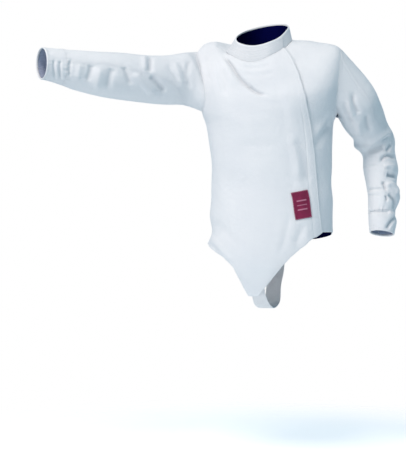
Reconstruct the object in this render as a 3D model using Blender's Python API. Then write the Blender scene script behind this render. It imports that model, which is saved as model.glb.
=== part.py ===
"""A white fencing jacket as worn: one arm stretched out, the other hanging.

Metres, +Z up. The front faces -Y and the wearer's left is +X. The origin is the
centre of the neck seam. Every cloth piece is a sheet with a real wall, cut from
one lofted form of the body or from a lofted sleeve, and ends half a seam gap
short of its neighbour.
"""

import math

import bpy
import numpy as np

CLOTH = 0.0020
LINING = 0.0010
SEAM = 0.0003
COLLAR_HEIGHT = 0.043
UNDERLAP = 0.040
FLAP_STEP = 0.0041
FLAP_EASE = (0.046, 0.080)
ZIP_THICKNESS = 0.0015
LABEL_SIZE = (0.045, 0.074)
LABEL_THICKNESS = 0.0010
LABEL_GAP = 0.0012
STRAP_WIDTH = 0.044
STRAP_THICKNESS = 0.0025
STRAP_GAP = 0.0010

# Angles round the body, in degrees: 0 is the front centre and 90 the wearer's left.
SEAM_LEFT = 108.0
SEAM_RIGHT = -86.0

# Distances in from the free edge of the flap at which it, the zip and the underlap
# all have a column of points, so that they lie flat on one another.
FLAP_COLUMNS = (0.080, 0.062, 0.046, UNDERLAP, 0.034, 0.022, 0.010, 0.0)

# Level direction to the viewer's right. The folds are placed across along it and up.
ACROSS = (math.cos(math.radians(19.0)), math.sin(math.radians(19.0)))

# Level rings of the trunk, from the crotch up to the chest.
# height, centre x, centre y, half width, front depth, back depth
TRUNK = (
    (-0.700, 0.004, 0.035, 0.050, 0.045, 0.060),
    (-0.665, 0.006, 0.030, 0.095, 0.078, 0.092),
    (-0.630, 0.010, 0.025, 0.140, 0.100, 0.118),
    (-0.590, 0.015, 0.020, 0.172, 0.115, 0.130),
    (-0.545, 0.018, 0.020, 0.1784, 0.123, 0.130),
    (-0.500, 0.0257, 0.020, 0.1686, 0.122, 0.126),
    (-0.455, 0.0222, 0.020, 0.1713, 0.118, 0.120),
    (-0.410, 0.0243, 0.020, 0.1706, 0.114, 0.116),
    (-0.365, 0.0222, 0.020, 0.1675, 0.112, 0.114),
    (-0.315, 0.0233, 0.020, 0.1682, 0.116, 0.116),
    (-0.260, 0.0215, 0.020, 0.1715, 0.120, 0.120),
    (-0.206, 0.0188, 0.020, 0.1777, 0.125, 0.123),
)

# Rings that saddle over the shoulders, from the armpit up to the neck seam.
# centre x, centre y, half width left and right, front depth, back depth, squareness,
# then the height at the front and every 45 degrees on round the wearer's left
SHOULDERS = (
    (0.0150, 0.020, 0.191, 0.187, 0.126, 0.125, 2.2,
     -0.173, -0.176, -0.178, -0.177, -0.173, -0.168, -0.162, -0.170),
    (0.0120, 0.020, 0.218, 0.190, 0.122, 0.125, 2.5,
     -0.141, -0.123, -0.095, -0.104, -0.117, -0.090, -0.078, -0.114),
    (0.0100, 0.018, 0.2095, 0.196, 0.111, 0.115, 2.3,
     -0.112, -0.075, -0.006, -0.028, -0.060, -0.012, 0.006, -0.058),
    (0.0030, 0.009, 0.147, 0.143, 0.096, 0.098, 2.1,
     -0.068, -0.042, 0.014, 0.018, 0.000, 0.026, 0.028, -0.034),
    (-0.0045, 0.000, 0.091, 0.091, 0.079, 0.078, 2.0,
     -0.0418, -0.019, 0.020, 0.030, 0.028, 0.018, 0.002, -0.0185),
)

# The top edge of the collar, in the same columns.
COLLAR_TOP = (0.0035, -0.001, 0.0745, 0.0745, 0.0700, 0.0700, 2.0,
              0.0005, 0.0170, 0.052, 0.073, 0.077, 0.064, 0.040, 0.0135)

ARMPIT_ROW = 12.0
SHOULDER_ROW = 14.0
NECK_ROW = 16.0
WAIST_ROW = 6.0

# Half angles of the armholes to the front and to the back of the side seams.
ARMHOLE_LEFT = (35.0, 36.0)
ARMHOLE_RIGHT = (37.0, 32.0)

# Angle of the free edge of the flap at every half row from 5 up to the neck seam.
FLAP_EDGE = (64.6, 63.3, 62.0, 60.2, 58.8, 58.9, 59.0, 57.8, 56.2, 54.7, 53.1, 51.3,
             49.1, 47.0, 43.9, 37.7, 32.6, 31.2, 32.2, 36.8, 44.2, 52.2, 61.2)

# Lower edge of the flap panel: angle round the body and height.
FLAP_HEM = ((-86.0, -0.531), (-67.2, -0.534), (-48.0, -0.552), (-34.2, -0.568), (-22.8, -0.595),
            (-18.0, -0.635), (-15.0, -0.676), (-3.5, -0.677), (11.0, -0.676), (16.2, -0.649),
            (19.5, -0.621), (23.5, -0.591), (29.0, -0.569), (38.2, -0.545), (48.8, -0.524), (66.0, -0.501))

LEFT_HEM = -0.501
BACK_HEM = ((108.0, -0.503), (150.0, -0.520), (220.0, -0.532), (274.0, -0.533))

# Angle of the front seam round each sleeve, at the armhole and at each of its rings.
RIGHT_SEAM = (176.0, 171.0, 109.0, 86.0, 80.0, 68.0, 75.0, 78.0, 79.0)
LEFT_SEAM = (45.0, 77.0, 81.0, 50.0, 45.0, 70.0, 84.0, 89.0, 95.0, 92.0, 89.0, 89.0)
BACK_SEAM = -100.0
RIGHT_CUFF = 7.0
LEFT_CUFF = 9.0

# Centre of the crotch strap between the point of the front and the back: x, y, z.
STRAP_UNDER = ((0.0035, 0.000, -0.7010), (0.0050, 0.045, -0.7120), (0.0065, 0.092, -0.6960))

LABEL_PLACE = (39.2, -0.4285)
LABEL_TURN = 10.5

# The largest folds: rise, width, and line across and up as the viewer sees it.
FOLDS = (
    # from the collar down across the chest, and the soft ones on the right shoulder
    (-0.0070, 0.0090, ((-0.100, -0.001), (-0.089, -0.033), (-0.073, -0.069), (-0.057, -0.091),
                       (-0.041, -0.109), (-0.026, -0.120), (-0.002, -0.133))),
    (-0.0035, 0.0110, ((-0.111, -0.030), (-0.106, -0.074), (-0.099, -0.139))),
    (-0.0030, 0.0100, ((-0.153, -0.001), (-0.148, -0.045), (-0.146, -0.097))),
    # beside the flap, below the label and along the hem at the right hip
    (-0.0040, 0.0150, ((0.088, -0.247), (0.110, -0.308), (0.116, -0.378))),
    (-0.0035, 0.0110, ((0.112, -0.474), (0.099, -0.506), (0.085, -0.537))),
    (0.0040, 0.0110, ((-0.138, -0.512), (-0.113, -0.546), (-0.078, -0.587))),
    (-0.0040, 0.0100, ((-0.143, -0.530), (-0.116, -0.560), (-0.084, -0.597))),
    # across the right sleeve, from the armhole out
    (-0.0030, 0.0100, ((-0.193, -0.022), (-0.203, -0.064), (-0.195, -0.112))),
    (-0.0055, 0.0110, ((-0.302, -0.078), (-0.281, -0.101), (-0.260, -0.123))),
    (0.0050, 0.0110, ((-0.346, -0.073), (-0.318, -0.103), (-0.289, -0.129))),
    (-0.0050, 0.0090, ((-0.304, -0.023), (-0.302, -0.047), (-0.302, -0.072))),
    (-0.0040, 0.0100, ((-0.370, -0.058), (-0.351, -0.086), (-0.334, -0.119))),
    (-0.0045, 0.0100, ((-0.398, -0.065), (-0.406, -0.087), (-0.415, -0.122))),
    (-0.0040, 0.0100, ((-0.452, -0.057), (-0.462, -0.079), (-0.473, -0.105))),
    # down the left sleeve: upper arm, the thick fold at the elbow and those of the forearm
    (-0.0060, 0.0110, ((0.240, -0.114), (0.236, -0.141), (0.238, -0.167))),
    (0.0040, 0.0100, ((0.256, -0.190), (0.261, -0.212), (0.265, -0.235))),
    (0.0060, 0.0110, ((0.367, -0.221), (0.327, -0.242), (0.286, -0.268))),
    (-0.0060, 0.0100, ((0.368, -0.248), (0.334, -0.266), (0.295, -0.281))),
    (-0.0045, 0.0090, ((0.379, -0.291), (0.351, -0.293), (0.331, -0.294))),
    (-0.0045, 0.0090, ((0.375, -0.345), (0.352, -0.349), (0.332, -0.375))),
    (-0.0045, 0.0090, ((0.369, -0.421), (0.353, -0.399), (0.337, -0.410))),
)

# Rings of the sleeves: centre across, away from the viewer and up, the lean of the
# ring from upright towards the wearer's left, half its length along that lean and
# half its width from front to back.
RIGHT_SLEEVE = (
    (-0.211, 0.034, -0.0755, 0.0, 0.0730, 0.062),
    (-0.262, 0.010, -0.0815, 0.0, 0.0675, 0.060),
    (-0.315, -0.018, -0.0822, 0.0, 0.0646, 0.059),
    (-0.377, -0.051, -0.0784, 0.0, 0.0638, 0.057),
    (-0.439, -0.084, -0.0768, 0.0, 0.0594, 0.053),
    (-0.4927, -0.113, -0.0705, 0.0, 0.0542, 0.047),
    (-0.534, -0.135, -0.0639, 0.0, 0.0473, 0.043),
    (-0.5829, -0.161, -0.0577, 0.0, 0.0413, 0.0405),
)
LEFT_SLEEVE = (
    (0.252, -0.028, -0.141, 35.0, 0.065, 0.058),
    (0.281, 0.008, -0.182, 46.0, 0.060, 0.055),
    (0.305, 0.040, -0.2175, 55.0, 0.053, 0.052),
    (0.3195, 0.060, -0.250, 76.0, 0.057, 0.054),
    (0.332, 0.059, -0.281, 85.0, 0.0455, 0.048),
    (0.3365, 0.051, -0.327, 90.0, 0.0480, 0.050),
    (0.3365, 0.042, -0.368, 90.0, 0.0425, 0.046),
    (0.3430, 0.034, -0.406, 90.0, 0.0445, 0.047),
    (0.3350, 0.027, -0.447, 90.0, 0.0365, 0.039),
    (0.3370, 0.020, -0.473, 90.0, 0.0385, 0.040),
    (0.3345, 0.013, -0.504, 98.0, 0.0340, 0.035),
)


def through(rows, at):
    """Smooth curve through the rows of a table. Between two rows it is the cubic
    that meets both and runs at each row parallel to the line past its neighbours."""
    rows = np.asarray(rows, float)
    at = np.clip(np.asarray(at, float), 0, len(rows) - 1)
    low = np.minimum(at.astype(int), len(rows) - 2)
    f = (at - low)[..., None]
    slope = np.gradient(rows, axis=0)
    a, b, sa, sb = rows[low], rows[low + 1], slope[low], slope[low + 1]
    return (a * (1 + 2 * f) * (1 - f) ** 2 + sa * f * (1 - f) ** 2
            + b * f * f * (3 - 2 * f) + sb * f * f * (f - 1))


def around(values, angle):
    """Smooth closed curve through eight values set every 45 degrees."""
    values = np.asarray(values, float)
    place = np.mod(np.asarray(angle, float), 360.0) / 45.0
    low = np.floor(place).astype(int)
    f = place - low
    pick = [np.take_along_axis(values, np.mod(low + k, 8)[..., None], -1)[..., 0]
            for k in (-1, 0, 1, 2)]
    sa, sb = (pick[2] - pick[0]) / 2, (pick[3] - pick[1]) / 2
    return (pick[1] * (1 + 2 * f) * (1 - f) ** 2 + sa * f * (1 - f) ** 2
            + pick[2] * f * f * (3 - 2 * f) + sb * f * f * (f - 1))


def ring(row, angle):
    """Point of a ring: a super-ellipse in plan, whose height goes round through the
    eight heights of its row."""
    turn = np.radians(angle)
    s, c = np.sin(turn), np.cos(turn)
    power = 2.0 / row[..., 6]
    x = row[..., 0] + np.where(s > 0, row[..., 2], row[..., 3]) * np.sign(s) * np.abs(s) ** power
    y = row[..., 1] - np.where(c > 0, row[..., 4], row[..., 5]) * np.sign(c) * np.abs(c) ** power
    return np.stack([x, y, around(row[..., 7:], angle)], axis=-1)


FORM = np.array([(x, y, a, a, bf, bb, 2.1) + (z,) * 8 for z, x, y, a, bf, bb in TRUNK] + list(SHOULDERS))


def body(angle, row):
    """Point of the body form at an angle round it and a row up it."""
    angle, row = np.broadcast_arrays(angle, row)
    return ring(through(FORM, row), angle)


def normals(surface, u, v, step_u, step_v):
    """Outward unit normals of a surface given by two coordinates."""
    du = surface(u + step_u, v) - surface(u - step_u, v)
    dv = surface(u, v + step_v) - surface(u, v - step_v)
    n = np.cross(du, dv)
    return n / np.linalg.norm(n, axis=-1, keepdims=True)


def relief(points, facing):
    """Height of the folds at these points. Each fold is a rise, a width and a line of
    corners across and up as the viewer sees them: a ridge, or a groove where the rise is
    below zero, that dies away on both sides. Only cloth that faces the viewer has it."""
    across = points[..., 0] * ACROSS[0] + points[..., 1] * ACROSS[1]
    up = points[..., 2]
    height = np.zeros(points.shape[:-1])
    for rise, width, line in FOLDS:
        off = np.full(height.shape, 1.0)
        for (x0, z0), (x1, z1) in zip(line[:-1], line[1:]):
            dx, dz = x1 - x0, z1 - z0
            along = np.clip(((across - x0) * dx + (up - z0) * dz) / (dx * dx + dz * dz), 0.0, 1.0)
            off = np.minimum(off, np.hypot(across - x0 - along * dx, up - z0 - along * dz))
        height += rise * np.exp(-(off / width) ** 2)
    towards = facing[..., 0] * ACROSS[1] - facing[..., 1] * ACROSS[0]
    return height * np.clip(towards * 4.0, 0.0, 1.0)


def material(name, colour, roughness):
    cloth = bpy.data.materials.new(name)
    cloth.use_nodes = True
    shader = cloth.node_tree.nodes["Principled BSDF"]
    shader.inputs["Base Color"].default_value = (*colour, 1.0)
    shader.inputs["Roughness"].default_value = roughness
    cloth.diffuse_color = (*colour, 1.0)
    return cloth


def shell(name, outer, inner, cloth):
    """One closed piece of cloth: two grids of points, joined round their edges. Both
    grids split their squares along the same diagonal, so the wall stays even."""
    rows, columns = outer.shape[:2]
    index = np.arange(rows * columns).reshape(rows, columns)
    face = np.stack([index[:-1, :-1], index[:-1, 1:], index[1:, 1:], index[1:, :-1]], -1).reshape(-1, 4)
    edge = np.concatenate([index[0, :-1], index[:-1, -1], index[-1, :0:-1], index[:0:-1, 0]])
    ahead = np.roll(edge, -1)
    count = rows * columns
    side = np.stack([ahead, edge, edge + count, ahead + count], -1)
    faces = np.concatenate([face, face[:, [0, 3, 2, 1]] + count, side])
    points = np.concatenate([outer.reshape(-1, 3), inner.reshape(-1, 3)])
    corner = points[faces]
    volume = sum(np.einsum("ij,ij->", corner[:, 0], np.cross(corner[:, k], corner[:, k + 1])) for k in (1, 2))
    if volume < 0:
        faces = faces[:, [0, 3, 2, 1]]
    mesh = bpy.data.meshes.new(name)
    mesh.from_pydata(points.tolist(), [], faces.tolist())
    mesh.materials.append(cloth)
    mesh.shade_smooth()
    mesh.set_sharp_from_angle(angle=math.radians(50))
    piece = bpy.data.objects.new(name, mesh)
    bpy.context.scene.collection.objects.link(piece)
    return piece


def side_edge(row, seam, armhole, front):
    """Angle of a side edge of a panel: the side seam below the armpit, the rim of the
    armhole between armpit and shoulder, and the shoulder seam above."""
    middle = (ARMPIT_ROW + SHOULDER_ROW) / 2
    reach = (SHOULDER_ROW - ARMPIT_ROW) / 2
    rise = np.clip((row - middle) / reach, -1.0, 1.0)
    half = (1.0 - np.abs(rise) ** 2.3) ** (1 / 2.3) * (armhole[0] if front else armhole[1])
    outward = 1.0 if seam > 0 else -1.0
    return seam - outward * half if front else seam + outward * half


def upper_rows(below, inside, above):
    """Rows of a panel above the waist: even ones up to the armpit, ones that crowd
    at both ends of the armhole, and even ones on to the neck seam."""
    middle = (ARMPIT_ROW + SHOULDER_ROW) / 2
    reach = (SHOULDER_ROW - ARMPIT_ROW) / 2
    turn = np.linspace(-math.pi / 2, math.pi / 2, inside + 1)
    return np.concatenate([np.linspace(WAIST_ROW, ARMPIT_ROW, below + 1)[:-1],
                           middle + reach * np.sin(turn),
                           np.linspace(SHOULDER_ROW, NECK_ROW, above + 1)[1:]])


def row_of(height):
    """Row of the trunk whose ring lies at this height."""
    levels = np.array([ring_row[0] for ring_row in TRUNK])
    fine = np.linspace(0, len(levels) - 1, 400)
    heights = through(levels[:, None], fine)[:, 0]
    return np.interp(height, heights, fine)


def armhole_ring(seam, armhole, turn, outward):
    """Rim of an armhole at angles round the sleeve: 0 at the shoulder point, 90 at the
    front. The ring stands a little off the rim, towards the sleeve."""
    s, c = np.sin(np.radians(turn)), np.cos(np.radians(turn))
    middle = (ARMPIT_ROW + SHOULDER_ROW) / 2
    reach = (SHOULDER_ROW - ARMPIT_ROW) / 2
    wide = (1.0 - np.abs(c) ** 2.3) ** (1 / 2.3) * np.sign(s)
    half = np.where(s > 0, armhole[0], armhole[1]) * wide
    angle = seam - half if seam > 0 else seam + half
    rim = body(angle, middle + reach * c)
    return rim + outward


def sleeve(seam, armhole, outward, stations):
    """Surface of a sleeve: smooth through the rim of the armhole and a row of ellipses
    round the arm. Returns a function of the angle round and the station along."""
    across = np.array([ACROSS[0], ACROSS[1], 0.0])
    away = np.array([-ACROSS[1], ACROSS[0], 0.0])
    upward = np.array([0.0, 0.0, 1.0])
    table = np.array(stations)
    centres = table[:, :1] * across + table[:, 1:2] * away + table[:, 2:3] * upward
    axis = np.gradient(centres, axis=0)
    lean = np.radians(table[:, 3:4])
    first = np.cos(lean) * upward + np.sin(lean) * across
    second = np.cross(axis, first)
    second /= np.linalg.norm(second, axis=1, keepdims=True)
    second *= np.sign(-(second @ away))[:, None]

    def point(turn, station):
        turn, station = np.broadcast_arrays(np.asarray(turn, float), np.asarray(station, float))
        s, c = np.sin(np.radians(turn))[..., None], np.cos(np.radians(turn))[..., None]
        rings = [armhole_ring(seam, armhole, turn, outward)]
        for k in range(len(table)):
            rings.append(centres[k] + table[k, 4] * c * first[k] + table[k, 5] * s * second[k])
        rings = np.stack(rings)
        slope = np.gradient(rings, axis=0)
        low = np.clip(station.astype(int), 0, len(rings) - 2)
        f = (station - low)[..., None]
        pick = low[None, ..., None]
        a, sa = (np.take_along_axis(grid, pick, 0)[0] for grid in (rings, slope))
        b, sb = (np.take_along_axis(grid, pick + 1, 0)[0] for grid in (rings, slope))
        return (a * (1 + 2 * f) * (1 - f) ** 2 + sa * f * (1 - f) ** 2
                + b * f * f * (3 - 2 * f) + sb * f * f * (f - 1))

    return point


right_sleeve = sleeve(SEAM_RIGHT, ARMHOLE_RIGHT, np.array([-0.0009, -0.0006, 0.0]), RIGHT_SLEEVE)
left_sleeve = sleeve(SEAM_LEFT, ARMHOLE_LEFT, np.array([0.0013, 0.0004, 0.0]), LEFT_SLEEVE)


def ease(x, low, high):
    """Smooth step from 0 to 1."""
    f = np.clip((x - low) / (high - low), 0.0, 1.0)
    return f * f * (3 - 2 * f)


def degrees_of(angle, row, distance):
    """Turn round the body that runs this distance along its ring."""
    speed = np.linalg.norm(body(angle + 0.5, row) - body(angle - 0.5, row), axis=-1)
    return distance / speed


def flap_edge(row):
    return through(np.array(FLAP_EDGE)[:, None], 2.0 * np.asarray(row, float) - 10.0)[..., 0]


def flap_lift(angle, row):
    """Height of the flap over the form: it rides over the underlap and the zip, then
    eases down to the form beyond them."""
    inset = (flap_edge(row) - angle) / degrees_of(angle, row, 1.0)
    return FLAP_STEP * (1 - ease(inset, *FLAP_EASE))


def lay(name, angle, row, lift, thickness, cloth):
    """A piece on the body form: its outer face stands at this lift over the form, and
    the folds die away at the neck seam."""
    points = body(angle, row)
    facing = normals(body, angle, row, 0.5, 0.02)
    height = lift + relief(points, facing) * (1 - ease(row, 15.3, 15.95))
    outer = points + facing * height[..., None]
    return shell(name, outer, outer - facing * thickness, cloth)


def panel_rows(hem_row, below, upper):
    """Rows of a panel, one column per hem point: from the hem up to the waist ring,
    then the rows that all the panels share."""
    f = np.linspace(0.0, 1.0, below + 1)[:-1, None]
    low = hem_row[None, :] * (1 - f) + WAIST_ROW * f
    high = np.repeat(upper[:, None], len(hem_row), axis=1)
    return np.concatenate([low, high])


def hem_rows(table, angles):
    angle, height = np.array(table).T
    return row_of(np.interp(angles, angle, height))


for old in list(bpy.data.objects):
    bpy.data.objects.remove(old, do_unlink=True)

white = material("white_cotton", (0.86, 0.87, 0.90), 0.85)
navy = material("navy_lining", (0.03, 0.03, 0.16), 0.80)
webbing = material("white_webbing", (0.88, 0.88, 0.88), 0.75)
tape = material("zip_tape", (0.70, 0.72, 0.75), 0.60)
dark_red = material("dark_red_label", (0.30, 0.02, 0.06), 0.70)

UPPER = upper_rows(6, 12, 4)

# Flap panel: the whole front, from the right side seam over to the wearer's left.
# Its columns share out the front as far as the overlap, then keep to the set insets.
columns = np.array([-86.0, -77.0, -68.0, -59.0, -50.0, -42.0, -35.0, -28.5, -23.0, -18.0, -15.0, -8.0, -1.0,
                    6.0, 11.0, 16.0, 20.0, 25.0])
insets = np.array(FLAP_COLUMNS)
corner = float(flap_edge(5.0))
hem_angles = np.concatenate([columns, corner - degrees_of(corner, 5.0, insets)])
row = panel_rows(hem_rows(FLAP_HEM, hem_angles), 9, UPPER)
edge = flap_edge(row)
overlap = edge[:, -8:] - degrees_of(edge[:, -8:], row[:, -8:], 1.0) * insets
main = row[:, :-8]
right_edge = side_edge(main, SEAM_RIGHT, ARMHOLE_RIGHT, True)
right_edge = right_edge + degrees_of(right_edge, main, SEAM / 2)
share = (columns - columns[0]) / (hem_angles[-8] - columns[0])
angle = np.concatenate([right_edge + (overlap[:, :1] - right_edge) * share, overlap], axis=1)
lay("front_right", angle, row, flap_lift(angle, row), CLOTH, white)

# Left front: it runs under the flap, from the underlap to the left side seam.
insets = np.array(FLAP_COLUMNS[3:])
share = np.linspace(0.0, 1.0, 8)[1:]
left_hem = row_of(LEFT_HEM)
row = panel_rows(np.full(len(insets) + len(share), left_hem), 2, UPPER)
edge = flap_edge(row[:, :5])
overlap = edge - degrees_of(edge, row[:, :5], 1.0) * insets
left_edge = side_edge(row[:, 5:], SEAM_LEFT, ARMHOLE_LEFT, True)
left_edge = left_edge - degrees_of(left_edge, row[:, 5:], SEAM / 2)
angle = np.concatenate([overlap, overlap[:, -1:] + (left_edge - overlap[:, -1:]) * share], axis=1)
lay("front_left", angle, row, np.zeros(row.shape), CLOTH, white)

# Zip: the closed tape on the left front, under the flap.
row = row[2:-1, 1:4]
edge = flap_edge(row)
angle = edge - degrees_of(edge, row, 1.0) * np.array(FLAP_COLUMNS[4:7])
lay("zip", angle, row, np.full(row.shape, SEAM + ZIP_THICKNESS), ZIP_THICKNESS, tape)

# Back: one panel between the two side seams.
share = np.linspace(0.0, 1.0, 20)
hem_angles = SEAM_LEFT + (360.0 + SEAM_RIGHT - SEAM_LEFT) * share
row = panel_rows(hem_rows(BACK_HEM, hem_angles), 2, UPPER)
left_edge = side_edge(row, SEAM_LEFT, ARMHOLE_LEFT, False)
left_edge = left_edge + degrees_of(left_edge, row, SEAM / 2)
right_edge = side_edge(row, SEAM_RIGHT, ARMHOLE_RIGHT, False)
right_edge = right_edge - degrees_of(right_edge, row, SEAM / 2) + 360.0
angle = left_edge + (right_edge - left_edge) * share
lay("back", angle, row, np.zeros(row.shape), CLOTH, white)

# Label: a small rectangle on the flap, turned a little.
a, b = np.meshgrid(np.linspace(-0.5, 0.5, 4) * LABEL_SIZE[0], np.linspace(-0.5, 0.5, 6) * LABEL_SIZE[1])
turn = math.radians(LABEL_TURN)
row = row_of(LABEL_PLACE[1] + a * math.sin(turn) + b * math.cos(turn))
angle = LABEL_PLACE[0] + degrees_of(LABEL_PLACE[0], row, a * math.cos(turn) - b * math.sin(turn))
lift = flap_lift(angle, row) + LABEL_GAP + LABEL_THICKNESS
lay("label", angle, row, lift, LABEL_THICKNESS, dark_red)


def collar_band(name, angle, low, high, inset, thickness, cloth):
    """A band of the collar, straight up from the neck seam to the top ring. Its end on
    the flap is lifted with the flap. The inset is how far inside the collar it lies."""
    angle, height = np.meshgrid(angle, np.linspace(low, high, 4))
    top_row = np.full(angle.shape, NECK_ROW)
    lift = np.where(angle > -60.0, flap_lift(angle, top_row), 0.0)[..., None]
    base = body(angle, top_row) + normals(body, angle, top_row - 0.02, 0.5, 0.02) * lift
    top = ring(np.broadcast_to(np.array(COLLAR_TOP), angle.shape + (len(COLLAR_TOP),)), angle)
    plan = np.stack([np.sin(np.radians(angle)), -np.cos(np.radians(angle)), 0 * angle], axis=-1)
    top = top + plan * lift
    points = base + (top - base) * height[..., None]
    facing = np.cross(np.gradient(points, axis=1), top - base)
    facing /= np.linalg.norm(facing, axis=-1, keepdims=True)
    facing *= np.sign(np.einsum("ijk,ijk->ij", facing, plan))[..., None]
    outer = points - facing * inset
    return shell(name, outer, outer - facing * thickness, cloth)


# Collar: one band from its end on the flap, round the right side and the back, to its
# end on the underlap. Its navy facing lies inside.
tip = float(flap_edge(NECK_ROW))
under = tip - float(degrees_of(tip, NECK_ROW, UNDERLAP)) - 360.0
bottom = SEAM / COLLAR_HEIGHT
turns = np.linspace(tip, under, 44)
collar_band("collar", turns, bottom, 1.0, 0.0, CLOTH, white)
collar_band("collar_lining", turns[turns < under + 358.5], bottom, 0.97, CLOTH + SEAM, LINING, navy)


def sleeve_piece(name, surface, start, end, stations, count, cloth):
    """A panel of a sleeve between two lines of angles round it."""
    share = np.linspace(0.0, 1.0, count)
    station = stations[:, None] + 0.0 * share
    turn = start[:, None] + (end - start)[:, None] * share
    points = surface(turn, station)
    facing = normals(surface, turn, station, 1.0, 0.02)
    middle = surface(np.linspace(0, 330, 12)[None, :], stations[:, None]).mean(axis=1, keepdims=True)
    facing *= np.sign(np.einsum("ijk,ijk->ij", facing, points - middle))[..., None]
    outer = points + facing * relief(points, facing)[..., None]
    return shell(name, outer, outer - facing * CLOTH, cloth)


def sleeve_seam(surface, table, stations, side):
    """Line of a seam along a sleeve, half a gap to one side of it."""
    turn = through(np.array(table)[:, None], stations)[..., 0]
    line = np.gradient(surface(turn, stations), stations, axis=0)
    line /= np.linalg.norm(line, axis=-1, keepdims=True)
    sideways = (surface(turn + 1.0, stations) - surface(turn - 1.0, stations)) / 2
    return turn + side * SEAM / np.linalg.norm(np.cross(sideways, line), axis=-1)


for side, surface, seam, cuff in (("right", right_sleeve, RIGHT_SEAM, RIGHT_CUFF),
                                  ("left", left_sleeve, LEFT_SEAM, LEFT_CUFF)):
    last = len(seam) - 1
    crowd = np.array([0.0, 0.12, 0.3, 0.55])
    steps = int((cuff - 1) * 2.5)
    stations = np.concatenate([crowd, np.linspace(0.8, cuff - 0.003, steps)])
    back = [BACK_SEAM] * (last + 1)
    behind = [BACK_SEAM + 360.0] * (last + 1)
    sleeve_piece("sleeve_%s_top" % side, surface, sleeve_seam(surface, back, stations, 1),
                 sleeve_seam(surface, seam, stations, -1), stations, 13, white)
    sleeve_piece("sleeve_%s_under" % side, surface, sleeve_seam(surface, seam, stations, 1),
                 sleeve_seam(surface, behind, stations, -1), stations, 12, white)
    stations = np.linspace(cuff + 0.003, last, 5)
    sleeve_piece("cuff_%s" % side, surface, sleeve_seam(surface, back, stations, 1),
                 sleeve_seam(surface, behind, stations, -1), stations, 25, white)

# Crotch strap: from inside the point of the front, under, and up inside the back.
across = np.linspace(-0.5, 0.5, 5) * STRAP_WIDTH
sections = []
for heights, centre in (((-0.648, -0.663, -0.678), -1.5), ((-0.655, -0.615, -0.575, -0.540, -0.500), 183.0)):
    for height in heights:
        row = np.full(5, float(row_of(height)))
        angle = centre + degrees_of(centre, row, across) * (1 if centre < 90 else -1)
        facing = normals(body, angle, row, 0.5, 0.02)
        sections.append(body(angle, row) - facing * (CLOTH + STRAP_GAP))
    if centre < 90:
        for x, y, z in STRAP_UNDER:
            sections.append(np.stack([x + across, np.full(5, y), np.full(5, z)], axis=-1))
sections = np.array(sections).reshape(len(sections), -1)
strap = through(sections, np.linspace(0, len(sections) - 1, 31)).reshape(31, 5, 3)
facing = np.cross(np.gradient(strap, axis=1), np.gradient(strap, axis=0))
facing /= np.linalg.norm(facing, axis=-1, keepdims=True)
facing *= np.sign(facing[15, 2, 2]) * -1
shell("crotch_strap", strap, strap - facing * STRAP_THICKNESS, webbing)
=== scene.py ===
"""A white fencing jacket as worn: the right arm stretched out, the left arm hanging.

Metres, +Z up, the front towards -Y and the wearer's left at +X, with the origin at the
centre of the neck seam. The sections follow the jacket as it is sewn: fronts, zip, back,
sleeves, cuffs, collar, label and crotch strap, then the topstitching and the studio.
"""

import math

import bpy
import numpy as np
from mathutils import Matrix


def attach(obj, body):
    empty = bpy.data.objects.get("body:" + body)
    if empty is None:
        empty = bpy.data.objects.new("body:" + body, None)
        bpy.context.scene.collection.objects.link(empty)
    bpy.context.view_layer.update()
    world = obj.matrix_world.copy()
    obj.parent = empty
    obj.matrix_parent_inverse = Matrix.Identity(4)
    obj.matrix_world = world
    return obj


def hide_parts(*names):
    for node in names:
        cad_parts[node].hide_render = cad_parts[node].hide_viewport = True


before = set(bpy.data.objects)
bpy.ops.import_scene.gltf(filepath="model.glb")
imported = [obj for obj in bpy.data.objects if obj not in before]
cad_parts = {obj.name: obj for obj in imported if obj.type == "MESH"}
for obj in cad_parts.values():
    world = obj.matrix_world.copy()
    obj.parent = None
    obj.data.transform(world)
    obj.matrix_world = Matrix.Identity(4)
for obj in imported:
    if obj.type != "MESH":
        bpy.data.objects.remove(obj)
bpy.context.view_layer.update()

# The flap panel: the whole front in one piece of white cotton canvas bonded to a navy
# lining. It runs from the right side seam over to the wearer's left, is turned under
# along its free edge and its pointed hem, and is topstitched through all layers.

CLOTH = 0.0020
SEAM = 0.0003
FLAP_STEP = 0.0041
FLAP_EASE = (0.046, 0.080)

# Rows of the body form that the seams meet, the turn of the right side seam, and how far
# the armhole reaches to its front and back, in degrees.
WAIST_ROW = 6.0
ARMPIT_ROW = 12.0
SHOULDER_ROW = 14.0
NECK_ROW = 16.0
SEAM_RIGHT = -86.0
ARMHOLE_RIGHT = (37.0, 32.0)
OVAL = 2.3

# The direction across the view, in plan, and the depths over which painted shade darkens a crease.
ACROSS = (math.cos(math.radians(19.0)), math.sin(math.radians(19.0)))
CREASE_SHADE = (0.0010, 0.0085)

# Level rings of the trunk, from the crotch up to the chest.
# height, centre x, centre y, half width, front depth, back depth
TRUNK = (
    (-0.700, 0.004, 0.035, 0.050, 0.045, 0.060),
    (-0.665, 0.006, 0.030, 0.095, 0.078, 0.092),
    (-0.630, 0.010, 0.025, 0.140, 0.100, 0.118),
    (-0.590, 0.015, 0.020, 0.172, 0.115, 0.130),
    (-0.545, 0.018, 0.020, 0.1784, 0.123, 0.130),
    (-0.500, 0.0257, 0.020, 0.1686, 0.122, 0.126),
    (-0.455, 0.0222, 0.020, 0.1713, 0.118, 0.120),
    (-0.410, 0.0243, 0.020, 0.1706, 0.114, 0.116),
    (-0.365, 0.0222, 0.020, 0.1675, 0.112, 0.114),
    (-0.315, 0.0233, 0.020, 0.1682, 0.116, 0.116),
    (-0.260, 0.0215, 0.020, 0.1715, 0.120, 0.120),
    (-0.206, 0.0188, 0.020, 0.1777, 0.125, 0.123),
)

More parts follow.
